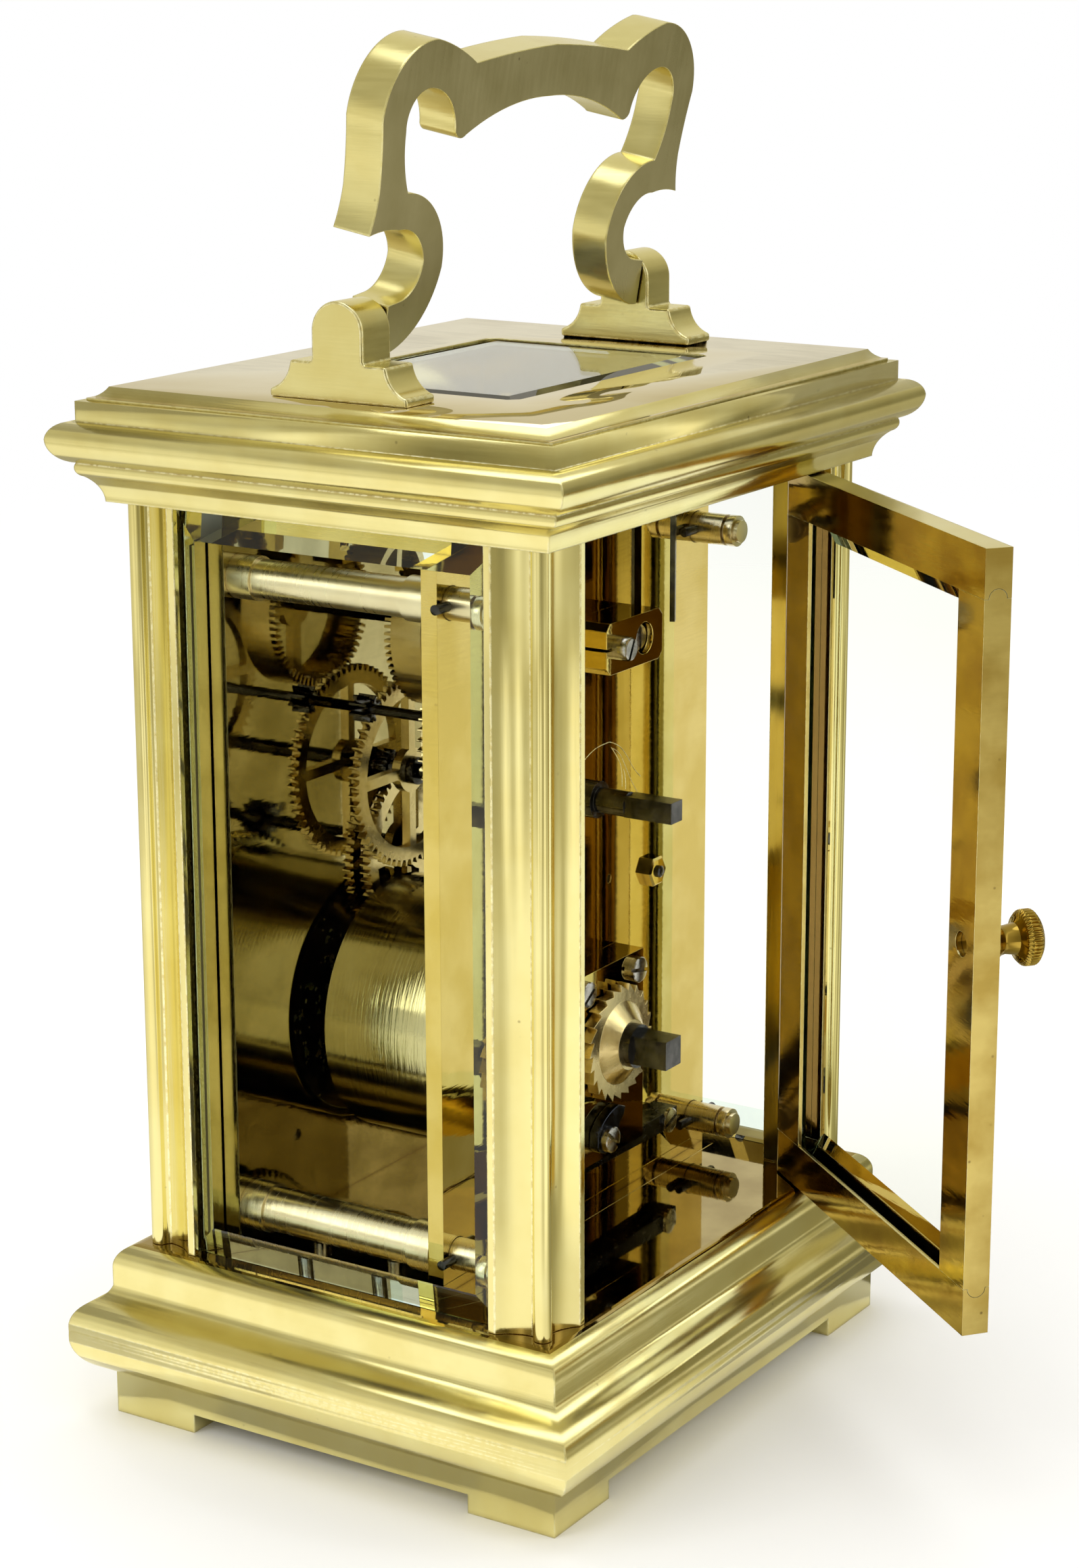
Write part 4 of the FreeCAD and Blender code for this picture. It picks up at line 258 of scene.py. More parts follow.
lidBrass = brass("lidBrass", (0.84, 0.76, 0.55), (0.76, 0.66, 0.43), (0.03, 0.08), (8, 1, 1), 0.7, 60, 0.015)
# Painted shade: a darker brass for the plates' inner faces, which face the dim space between the plates
shadedInnerBrass = brass(
    "shadedInnerBrass", (0.44, 0.37, 0.17), (0.34, 0.28, 0.11), (0.02, 0.06), (1, 1, 10), 0.4, ripple=0.02
)
# Hinge stile and free edge: further darker copies of the door's brass, painted shade
shadedHingeBrass = brass("shadedHingeBrass", (0.30, 0.20, 0.05), (0.20, 0.12, 0.025), (0.05, 0.14), (1, 1, 6), 0.8)
shadedDoorEdge = brass("shadedDoorEdge", (0.64, 0.51, 0.17), (0.46, 0.33, 0.08), (0.10, 0.24), (1, 1, 4), 0.8)
pillarBrass = brass("pillarBrass", (0.78, 0.70, 0.46), (0.70, 0.60, 0.36), (0.20, 0.34), (1, 12, 1), 0.6)
drumBrass = brass(
    "drumBrass", (0.58, 0.53, 0.28), (0.50, 0.44, 0.20), (0.07, 0.20), (1, 24, 1), 0.3, 90, 0.12
)
rubbedEdge = rubbedBrass("rubbedEdge", (0.94, 0.89, 0.54), (0.80, 0.71, 0.34))
lidGlass = glass("lidGlass", (0.97, 0.99, 0.98), (0.95, 0.98, 0.965), 1.5)
bevelGlass = glass("bevelGlass", (0.80, 0.93, 0.86), (0.68, 0.86, 0.77), 1.5)
glassEdge = glass("glassEdge", (0.30, 0.62, 0.50), (0.16, 0.44, 0.34), 1.5)
screwSteel = steel("screwSteel", (0.52, 0.50, 0.46), (0.26, 0.25, 0.22), (0.12, 0.30))
print("finishes made:", len(bpy.data.materials))


# Pieces made here: placed in their mesh, riding on the body of what they dress
def addPiece(name, mesh, body, materials, stoodFor=()):
    piece = bpy.data.objects.new(name, mesh)
    scene.collection.objects.link(piece)
    mesh.materials.clear()
    for material in materials:
        mesh.materials.append(material)
    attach(piece, body)
    if stoodFor:
        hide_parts(*stoodFor)
    return piece


def mergedCopy(node, joinFlats=True):
    shape = bmesh.new()
    shape.from_mesh(nodes[node].data)
    bmesh.ops.remove_doubles(shape, verts=shape.verts, dist=2e-6)
    if joinFlats:
        bmesh.ops.dissolve_limit(shape, angle_limit=math.radians(0.4), verts=shape.verts, edges=shape.edges)
    return shape


# A copy of a CAD piece with its sharp edges eased, as polishing leaves them
def easedPiece(node, width, materials=None, segments=2, sort=None, rubbed=None):
    shape = mergedCopy(node)
    mesh = bpy.data.meshes.new(node + "Eased")
    for face in shape.faces:
        face.smooth = True
    shape.to_mesh(mesh)
    shape.free()
    materials = list(materials or [finishes[slotOf[node]]])
    if rubbed:
        materials.append(rubbed)
    for material in materials:
        mesh.materials.append(material)
    helper = bpy.data.objects.new(node + "Helper", mesh)
    scene.collection.objects.link(helper)
    ease = helper.modifiers.new("ease", "BEVEL")
    ease.width = width * mm
    ease.segments = segments
    ease.limit_method = "ANGLE"
    ease.angle_limit = math.radians(32)
    ease.miter_outer = "MITER_ARC"
    if rubbed:
        ease.material = len(materials) - 1
    flatten = helper.modifiers.new("flatten", "WEIGHTED_NORMAL")
    flatten.mode = "FACE_AREA"
    flatten.weight = 60
    graph = bpy.context.evaluated_depsgraph_get()
    result = bpy.data.meshes.new_from_object(helper.evaluated_get(graph))
    bpy.data.objects.remove(helper)
    bpy.data.meshes.remove(mesh)
    result.name = node + "Eased"
    picked = [polygon.material_index for polygon in result.polygons]
    piece = addPiece(node + "Eased", result, bodyOf[node], materials, [node])
    for polygon, index in zip(result.polygons, picked):
        polygon.material_index = sort(polygon) if sort and index == 0 else index
    return piece


def shadeRound(mesh, bend):
    mesh.set_sharp_from_angle(angle=math.radians(bend))
    mesh.polygons.foreach_set("use_smooth", [True] * len(mesh.polygons))


# A copy with round stretches shaded smooth and faces sorted by finish
def smoothPiece(node, materials=None, sort=None, bend=28, joinFlats=True):
    shape = mergedCopy(node, joinFlats)
    mesh = bpy.data.meshes.new(node + "Smooth")
    shape.to_mesh(mesh)
    shape.free()
    shadeRound(mesh, bend)
    materials = materials or [finishes[slotOf[node]]]
    piece = addPiece(node + "Smooth", mesh, bodyOf[node], materials, [node])
    if sort:
        for polygon in mesh.polygons:
            polygon.material_index = sort(polygon)
    return piece


for node, item in nodes.items():
    item.data.materials.clear()
    item.data.materials.append(finishes[slotOf[node]])

# Case and door: edges rubbed pale by polishing
rubbedWidths = {
    "column_front_left": 0.14,
    "column_front_right": 0.14,
    "column_rear_left": 0.14,
    "column_rear_right": 0.14,
    "lug_left": 0.3,
    "lug_right": 0.3,
}
for node, width in rubbedWidths.items():
    easedPiece(node, width, [columnBrass if "column" in node else finishes["case_brass"]], rubbed=rubbedEdge)
doorSetup = {"openAngle": 51, "ease": 0.14}
doorOpen = math.radians(doorSetup["openAngle"])
doorFreeWay = Vector((math.cos(doorOpen), math.sin(doorOpen), 0))
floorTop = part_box("base_floor")[1].z


# Door faces by facing: tops keep case brass, the free edge and the other faces take darker copies, painted
# shade
def doorFace(face):
    if face.normal.z > 0.7:
        return 1
    return 2 if face.normal.dot(doorFreeWay) > 0.7 else 0


def lidFace(face):
    return 1 if face.normal.z > 0.9 else 0


# The plinth's inner floor faces take the darker floor brass: painted shade
def baseFace(face):
    inside = face.normal.z > 0.9 and abs(face.center.z - floorTop) < 0.5 * mm
    return 1 if inside else 0


for node in ("door_top_rail", "door_bottom_rail", "door_hinge_stile", "door_free_stile"):
    plain = shadedHingeBrass if node == "door_hinge_stile" else finishes["door_brass"]
    doorFinishes = [plain, finishes["case_brass"], shadedDoorEdge]
    easedPiece(node, doorSetup["ease"], doorFinishes, sort=doorFace, rubbed=rubbedEdge)
smoothPiece("top_plate", [finishes["case_brass"], lidBrass], lidFace, joinFlats=False)
smoothPiece("cornice", joinFlats=False)
baseFinishes = [finishes["case_brass"], finishes["floor_brass"]]
basePiece = smoothPiece("base_plinth", baseFinishes, baseFace, joinFlats=False)
for polygon in basePiece.data.polygons:
    polygon.use_smooth = polygon.material_index == 0

# Movement: small breaks on the edges
easedWidths = {
    "base_floor": 0.12,
    "barrel_bridge": 0.15,
    "contrate_block": 0.2,
    "platform": 0.12,
    "platform_cocks": 0.12,
    "centre_arbor": 0.1,
    "ratchet_wheel": 0.06,
    "click": 0.1,
    "click_spring": 0.1,
}
handleTilt = math.radians(10)
handleFlat = Vector((0, math.cos(handleTilt), -math.sin(handleTilt)))


def innerSide(face):
    return 1 if face.normal.y < -0.9 else 0


def handleSide(face):
    return 1 if abs(face.normal.dot(handleFlat)) > 0.97 else 0


for node, width in easedWidths.items():
    easedPiece(node, width)
# The inner faces and the whole front plate take the darker brass: painted shade
easedPiece("back_plate", 0.12, [finishes["plate_brass"], shadedInnerBrass], sort=innerSide)
easedPiece("front_plate", 0.12, [shadedInnerBrass])
easedPiece("pillars", 0.08, [pillarBrass])
easedPiece("barrel_drum", 0.12, [drumBrass])
easedPiece("handle", 0.35, [finishes["case_brass"], satinBrass], 3, handleSide)
print("eased copies made")

# Panes: clear faces, green edges
paneFacing = {
    "front_glass": Vector((0, 1, 0)),
    "left_glass": Vector((1, 0, 0)),
    "right_glass": Vector((1, 0, 0)),
    "top_glass": Vector((0, 0, 1)),
    "door_glass": Vector((-math.sin(doorOpen), math.cos(doorOpen), 0)),
}


def paneSorter(facing):
    def paneFace(face):
        lean = abs(face.normal.dot(facing))
        if lean < 0.3:
            return 2
        return 1 if lean < 0.995 else 0

    return paneFace


for node, facing in paneFacing.items():
    clear = lidGlass if node == "top_glass" else finishes["glass"]
    smoothPiece(node, [clear, bevelGlass, glassEdge], paneSorter(facing), bend=1)
print("panes made:", len(paneFacing))

# Wheels and arbors, shaded round between their edges
smoothNodes = [
    "barrel_cap",
    "intermediate_wheel",
    "intermediate_arbor",
    "centre_wheel",
    "third_wheel",
    "third_arbor",
    "contrate_wheel",
    "contrate_arbor",
    "escape_wheel",
    "escape_arbor",
    "balance_wheel",
    "pillar_pins",
    "handle_pins",
    "cannon_pinion",
    "hour_wheel",
    "minute_wheel",
]
for node in smoothNodes:
    smoothPiece(node, joinFlats=False)
smoothPiece("barrel_arbor", bend=12)
print("turned pieces smoothed:", len(smoothNodes))


# Loose solids of a CAD node, each as a list of its points
def looseParts(node):
    shape = bmesh.new()
    shape.from_mesh(nodes[node].data)
    bmesh.ops.remove_doubles(shape, verts=shape.verts, dist=2e-6)
    unseen = set(shape.verts)
    parts = []
    while unseen:
        stack = [unseen.pop()]
        part = []
        while stack:
            vert = stack.pop()
            part.append(vert.co.copy())
            for edge in vert.link_edges:
                other = edge.other_vert(vert)
                if other in unseen:
                    unseen.remove(other)
                    stack.append(other)
        parts.append(part)
    shape.free()

    def middleOf(points):
        return tuple(round(sum(p[i] for p in points) / len(points), 5) for i in range(3))

    return sorted(parts, key=middleOf)


# Place and sizes of one screw: where its head starts, which way it faces, head and shank
def screwRow(points, axis):
    across = [i for i in range(3) if i != axis]
    middle = Vector((0, 0, 0))
    for i in across:
        middle[i] = (min(p[i] for p in points) + max(p[i] for p in points)) / 2
    reach = [math.hypot(*(p[i] - middle[i] for i in across)) for p in points]
    headRadius = max(reach)
    headSpan = [p[axis] for p, r in zip(points, reach) if r > headRadius * 0.96]
    ends = min(p[axis] for p in points), max(p[axis] for p in points)
    facing = 1 if sum(headSpan) / len(headSpan) > sum(ends) / 2 else -1
    seat = min(headSpan) if facing > 0 else max(headSpan)
    tail = ends[0] if facing > 0 else ends[1]
    shankReach = [r for p, r in zip(points, reach) if abs(p[axis] - tail) < 1e-5]
    direction = Vector((0, 0, 0))
    direction[axis] = facing
    middle[axis] = seat
    return {
        "place": middle,
        "direction": direction,
        "head": (headRadius, max(headSpan) - min(headSpan)),
        "shank": (max(shankReach), abs(seat - tail)),
    }


def finishedMesh(shape, name):
    bmesh.ops.recalc_face_normals(shape, faces=shape.faces)
    mesh = bpy.data.meshes.new(name)
    shape.to_mesh(mesh)
    shape.free()
    return mesh


# Faces between rings of points, one ring after another
def skinLoops(shape, loops):
    for lower, upper in zip(loops, loops[1:]):
        for i in range(len(lower)):
            j = (i + 1) % len(lower)
            shape.faces.new((lower[i], lower[j], upper[j], upper[i]))


def closedSkin(shape, loops):
    skinLoops(shape, loops)
    shape.faces.new(loops[0])
    shape.faces.new(loops[-1])


# Unit slotted head on the origin, facing up, and a unit shank below it
screwSetup = {
    "slotWidth": 0.30,
    "slotDepth": 0.5,
    "round": 0.16,
    "steps": 14,
    "shankSides": 20,
    "firstTurn": 0.9,  # in radians: the first slot's turn, then the step to each next one
    "nextTurn": 1.3,
}


def slottedHead(setup):
    shape = bmesh.new()
    floorLevel = 1 - setup["slotDepth"]
    bmesh.ops.create_cone(
        shape,
        cap_ends=True,
        segments=setup["steps"] * 2,
        radius1=1,
        radius2=1,
        depth=floorLevel,
        matrix=Matrix.Translation((0, 0, floorLevel / 2)),
    )
    half = setup["slotWidth"] / 2
    soft = setup["round"]
    steps = setup["steps"]
    rings = [(1, floorLevel), (1, 1 - soft), (1 - soft * 0.4, 1 - soft * 0.3), (1 - soft, 1)]
    for side in (0, math.pi):
        loops = []
        for radius, level in rings:
            start = math.asin(half / radius)
            sweep = math.pi - start * 2
            angles = [start + sweep * i / steps + side for i in range(steps + 1)]
            spots = [(radius * math.cos(a), radius * math.sin(a), level) for a in angles]
            loops.append([shape.verts.new(spot) for spot in spots])
        skinLoops(shape, loops)
        shape.faces.new(loops[-1])
        shape.faces.new(reversed(loops[0]))
    return finishedMesh(shape, "slottedHead")


def screwShank(setup):
    shape = bmesh.new()
    bmesh.ops.create_cone(
        shape,
        cap_ends=True,
        segments=setup["shankSides"],
        radius1=1,
        radius2=1,
        depth=1,
        matrix=Matrix.Translation((0, 0, -0.5)),
    )
    return finishedMesh(shape, "screwShank")


# Node tree: a head and a shank on every point, sized and turned by the point's attributes
def screwTree():
    tree = bpy.data.node_groups.new("screwsOnPoints", "GeometryNodeTree")
    face = tree.interface
    face.new_socket("Points", in_out="INPUT", socket_type="NodeSocketGeometry")
    face.new_socket("Head", in_out="INPUT", socket_type="NodeSocketObject")
    face.new_socket("Shank", in_out="INPUT", socket_type="NodeSocketObject")
    face.new_socket("Finish", in_out="INPUT", socket_type="NodeSocketMaterial")
    face.new_socket("Screws", in_out="OUTPUT", socket_type="NodeSocketGeometry")
    start = tree.nodes.new("NodeGroupInput")
    end = tree.nodes.new("NodeGroupOutput")
    kind = {"data_type": "FLOAT_VECTOR"}
    turn = addNode(tree, "GeometryNodeInputNamedAttribute", kind, Name="turn")
    spin = addNode(tree, "FunctionNodeEulerToRotation", {}, Euler=turn.outputs["Attribute"])
    join = tree.nodes.new("GeometryNodeJoinGeometry")
    for part in ("Head", "Shank"):
        size = addNode(tree, "GeometryNodeInputNamedAttribute", kind, Name=part.lower() + "Size")
        shape = addNode(tree, "GeometryNodeObjectInfo", {}, Object=start.outputs[part])
        placed = addNode(
            tree,
            "GeometryNodeInstanceOnPoints",
            {},
            Points=start.outputs["Points"],
            Instance=shape.outputs["Geometry"],
            Rotation=spin.outputs["Rotation"],
            Scale=size.outputs["Attribute"],
        )
        tree.links.new(placed.outputs["Instances"], join.inputs["Geometry"])
    solid = addNode(tree, "GeometryNodeRealizeInstances", {}, Geometry=join.outputs["Geometry"])
    painted = addNode(
        tree,
        "GeometryNodeSetMaterial",
        {},
        Geometry=solid.outputs["Geometry"],
        Material=start.outputs["Finish"],
    )
    tree.links.new(painted.outputs["Geometry"], end.inputs["Screws"])
    return tree


def socketName(tree, name):
    inputs = [item for item in tree.interface.items_tree if item.in_out == "INPUT"]
    return next(item.identifier for item in inputs if item.name == name)


# Runs a node tree on a carrier mesh and gives back a plain mesh
def grownMesh(name, tree, carrier, values):
    helper = bpy.data.objects.new(name + "Helper", carrier)
    scene.collection.objects.link(helper)
    grow = helper.modifiers.new("grow", "NODES")
    grow.node_group = tree
    for key, value in values.items():
        grow[socketName(tree, key)] = value
    graph = bpy.context.evaluated_depsgraph_get()
    result = bpy.data.meshes.new_from_object(helper.evaluated_get(graph))
    helper.modifiers.remove(grow)
    bpy.data.objects.remove(helper)
    bpy.data.meshes.remove(carrier)
    result.name = name
    return result


def makeScrews(name, node, rows, finish):
    carrier = bpy.data.meshes.new(name + "Points")
    carrier.from_pydata([row["place"] for row in rows], [], [])
    turns = carrier.attributes.new("turn", "FLOAT_VECTOR", "POINT")
    headSizes = carrier.attributes.new("headSize", "FLOAT_VECTOR", "POINT")
    shankSizes = carrier.attributes.new("shankSize", "FLOAT_VECTOR", "POINT")
    for i, row in enumerate(rows):
        slotTurn = Matrix.Rotation(screwSetup["firstTurn"] + screwSetup["nextTurn"] * i, 3, "Z")
        stood = row["direction"].to_track_quat("Z", "Y").to_matrix()
        turns.data[i].vector = (stood @ slotTurn).to_euler()
        radius, height = row["head"]
        headSizes.data[i].vector = (radius, radius, height)
        radius, length = row["shank"]
        shankSizes.data[i].vector = (radius, radius, length)
    stands = {}
    for part, mesh in (("Head", slottedHead(screwSetup)), ("Shank", screwShank(screwSetup))):
        stands[part] = bpy.data.objects.new(name + part, mesh)
    mesh = grownMesh(name, screwTree(), carrier, {**stands, "Finish": finish})
    for stand in stands.values():
        bpy.data.objects.remove(stand)
    shadeRound(mesh, 24)
    addPiece(name, mesh, bodyOf[node], [finish], [node])


# Brass nut on its stud, on the back plate
nutSetup = {
    "leastRadius": 1.8,  # in mm, past which a head is a nut
    "chamfer": 0.2,  # shares of the nut's and the stud's own sizes
    "crown": 0.86,
    "dome": 0.4,
    "studSides": 16,
}


def makeNut(points, axis, setup):
    low = [min(p[i] for p in points) for i in range(3)]
    high = [max(p[i] for p in points) for i in range(3)]
    middle = [(a + b) / 2 for a, b in zip(low, high)]
    reach = [math.hypot(p[0] - middle[0], p[2] - middle[2]) for p in points]
    nutRadius = max(reach)
    corners = [p[axis] for p, r in zip(points, reach) if r > nutRadius * 0.96]
    seat, top = min(corners), max(corners)
    studRadius = max(r for p, r in zip(points, reach) if abs(p[axis] - high[axis]) < 1e-5)
    shape = bmesh.new()

    def ring(radius, level, sides):
        angles = [2 * math.pi * i / sides for i in range(sides)]
        spots = [(radius * math.cos(a), level, radius * math.sin(a)) for a in angles]
        return [shape.verts.new((middle[0] + x, y, middle[2] + z)) for x, y, z in spots]

    chamfer = (top - seat) * setup["chamfer"]
    nutLevels = [(nutRadius, seat), (nutRadius, top - chamfer), (nutRadius * setup["crown"], top)]
    closedSkin(shape, [ring(radius, level, 6) for radius, level in nutLevels])
    brassFaces = len(shape.faces)
    dome = (high[axis] - top) * setup["dome"]
    studLevels = [(studRadius, low[axis]), (studRadius, high[axis] - dome)]
    studLevels += [(studRadius * 0.7, high[axis] - dome * 0.25), (studRadius * 0.3, high[axis])]
    closedSkin(shape, [ring(radius, level, setup["studSides"]) for radius, level in studLevels])
    mesh = finishedMesh(shape, "nutAndStud")
    nutFinishes = [finishes["plate_brass"], finishes["steel"]]
    addPiece("nutAndStud", mesh, bodyOf["movement_screws"], nutFinishes)
    for polygon in mesh.polygons:
        polygon.material_index = 0 if polygon.index < brassFaces else 1


movementRows = []
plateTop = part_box("back_plate")[1].z
for points in looseParts("movement_screws"):
    axis = 2 if max(p.z for p in points) > plateTop else 1
    row = screwRow(points, axis)
    if row["head"][0] > nutSetup["leastRadius"] * mm:
        makeNut(points, axis, nutSetup)
    else:
        movementRows.append(row)
makeScrews("slottedMovementScrews", "movement_screws", movementRows, screwSteel)
caseRows = [screwRow(points, 2) for points in looseParts("case_screws")]
makeScrews("slottedCaseScrews", "case_screws", caseRows, screwSteel)
print("screws made:", len(movementRows) + len(caseRows))

# Door knob: turned, with a cut rim, in mm
knobSetup = {
    "reach": 5.45,
    "neck": 1.3,
    "flange": 2.3,
    "waist": 1.5,
    "disc": 2.0,
    "rim": 3.0,
    "groove": 0.2,
    "grooves": 40,
}


def makeKnob(setup):
    points = [vertex.co for vertex in nodes["door_knob"].data.vertices]
    outward = Vector((-math.sin(doorOpen), math.cos(doorOpen), 0))
    across = Vector((math.cos(doorOpen), math.sin(doorOpen), 0))
    side = [p.dot(across) for p in points]
    depth = [p.dot(outward) for p in points]
    height = [p.z for p in points]
    heart = across * ((min(side) + max(side)) / 2) + Vector((0, 0, (min(height) + max(height)) / 2))
    inner, outer = min(depth) / mm, max(depth) / mm
    start = outer - setup["reach"]
    discStart = outer - setup["disc"]
    rim, flange, waist = setup["rim"], setup["flange"], setup["waist"]
    # Radius, place along the axis and whether the rim is cut there: neck, flange, waist, disc and its face
    outline = [(setup["neck"], inner, 0), (setup["neck"], start, 0)]
    outline += [(flange, start, 0), (flange, start + 0.35, 0), (flange - 0.3, start + 0.7, 0)]
    outline += [(waist + 0.15, start + 1.1, 0), (waist, (start + discStart) / 2, 0)]
    outline += [(waist + 0.2, discStart - 0.5, 0), (waist + 0.7, discStart - 0.1, 0)]
    outline += [(rim - 0.4, discStart, 0), (rim - 0.05, discStart + 0.35, 1), (rim, discStart + 0.6, 1)]
    outline += [(rim, outer - 0.6, 1), (rim - 0.1, outer - 0.45, 1), (rim - 0.55, outer - 0.12, 0)]
    outline += [(rim - 0.9, outer, 0), (rim - 1.3, outer - 0.1, 0), (0.5, outer - 0.05, 0)]
    shape = bmesh.new()
    sides = setup["grooves"] * 4
    loops = []
    for radius, along, cut in outline:
        loop = []
        for i in range(sides):
            angle = 2 * math.pi * i / sides
            size = (radius - setup["groove"] * cut * (i % 4 in (0, 1))) * mm
            spot = heart + outward * along * mm + across * math.cos(angle) * size
            loop.append(shape.verts.new(spot + Vector((0, 0, math.sin(angle) * size))))
        loops.append(loop)
    closedSkin(shape, loops)
    mesh = finishedMesh(shape, "cutRimKnob")
    shadeRound(mesh, 40)
    node = "door_knob"
    addPiece("cutRimKnob", mesh, bodyOf[node], [finishes["door_brass"]], [node])


makeKnob(knobSetup)
print("knob made")

# Fine scratches on the back plate above the setting square, from its middle, in mm
scratchSetup = {
    "thickness": 0.09,
    "strands": [
        [(-0.6, 4.0), (-1.9, 4.6), (-3.9, 5.05), (-6.1, 5.0)],
        [(-6.1, 5.0), (-8.0, 4.4), (-10.0, 2.6), (-11.7, 0.4), (-13.0, -0.5)],
        [(-6.8, 4.1), (-8.2, 3.5), (-9.6, 1.5), (-10.9, -0.6), (-12.3, -2.2)],
        [(-6.5, 4.3), (-8.0, 2.8), (-9.0, 1.0), (-8.9, -0.8)],
        [(-9.2, 1.2), (-9.8, 0.1), (-9.7, -1.3)],
    ],
}


def makeScratches(setup):
    centreLow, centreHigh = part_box("centre_arbor")
    centreZ = (centreLow.z + centreHigh.z) / 2
    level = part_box("back_plate")[1].y
    curve = bpy.data.curves.new("plateScratches", "CURVE")
    curve.dimensions = "3D"
    curve.bevel_depth = setup["thickness"] * mm / 2
    curve.bevel_resolution = 1
    curve.use_fill_caps = True
    for strand in setup["strands"]:
        spline = curve.splines.new("NURBS")
        spline.points.add(len(strand) - 1)
        for point, (x, z) in zip(spline.points, strand):
            point.co = (x * mm, level, centreZ + z * mm, 1)
        spline.order_u = 3
        spline.use_endpoint_u = True
    helper = bpy.data.objects.new("scratchHelper", curve)
    scene.collection.objects.link(helper)
    graph = bpy.context.evaluated_depsgraph_get()
    mesh = bpy.data.meshes.new_from_object(helper.evaluated_get(graph))
    bpy.data.objects.remove(helper)
    addPiece("plateScratches", mesh, bodyOf["back_plate"], [rubbedEdge])


makeScratches(scratchSetup)
print("scratches made:", len(scratchSetup["strands"]))

# Dial printing, in mm: hour numerals from strokes, a minute track of ticks between two rings
dialSetup = {
    "numeralRadius": 19.2,
    "numeralHeight": 5.4,
    "thick": 0.95,
    "thin": 0.32,
    "serif": 0.17,  # half a serif, as a share of a numeral's height
    "serifRise": 0.6,  # share of a thin stroke
    "trackInner": 23.0,
    "trackOuter": 24.6,
    "tickWidth": 0.16,
    "boldWidth": 0.42,
    "line": 0.16,
    "ink": 0.04,
}
numeralWords = ["XII", "I", "II", "III", "IIII", "V", "VI", "VII", "VIII", "IX", "X", "XI"]
strokesOf = {
    "I": (0.34, [((0.17, 0), (0.17, 1), "thick")]),
    "V": (0.74, [((0.12, 1), (0.37, 0), "thick"), ((0.62, 1), (0.37, 0), "thin")]),
    "X": (0.74, [((0.12, 1), (0.62, 0), "thick"), ((0.62, 1), (0.12, 0), "thin")]),
}


def inkSlab(shape, corners, level, depth):
    front = [shape.verts.new((x, level, z)) for x, z in corners]
    back = [shape.verts.new((x, level + depth, z)) for x, z in corners]
    count = len(corners)
    shape.faces.new(front)
    shape.faces.new(reversed(back))
    for i in range(count):
        j = (i + 1) % count
        shape.faces.new((front[i], back[i], back[j], front[j]))


# Corners of a stroke between two points, cut level at both ends
def strokeCorners(x0, z0, x1, z1, half):
    return [(x0 - half, z0), (x0 + half, z0), (x1 + half, z1), (x1 - half, z1)]


def makeNumerals(setup, centreZ, level):
    shape = bmesh.new()
    tall = setup["numeralHeight"]
    for hour, word in enumerate(numeralWords):
        angle = -2 * math.pi * hour / 12
        width = sum(strokesOf[letter][0] for letter in word) * tall
        cursor = -width / 2
        for letter in word:
            wide, strokes = strokesOf[letter]
            bars = []
            for (x0, z0), (x1, z1), weight in strokes:
                bars.append(strokeCorners(x0 * tall, z0 * tall, x1 * tall, z1 * tall, setup[weight] / 2))
                for x, z in ((x0, z0), (x1, z1)):
                    edge = z * tall
                    rise = setup["thin"] * (1 if z == 0 else -1) * setup["serifRise"]
                    bars.append(strokeCorners(x * tall, edge, x * tall, edge + rise, setup["serif"] * tall))
            for bar in bars:
                corners = []
                for x, z in bar:
                    across, out = cursor + x, setup["numeralRadius"] - tall / 2 + z
                    # The dial is read from the front, where +X lies on the right
                    turnedX = across * math.cos(angle) - out * math.sin(angle)
                    turnedZ = across * math.sin(angle) + out * math.cos(angle)
                    corners.append((turnedX * mm, centreZ + turnedZ * mm))
                inkSlab(shape, corners, level - setup["ink"] * mm, setup["ink"] * mm)
            cursor += wide * tall
    return finishedMesh(shape, "hourNumerals")


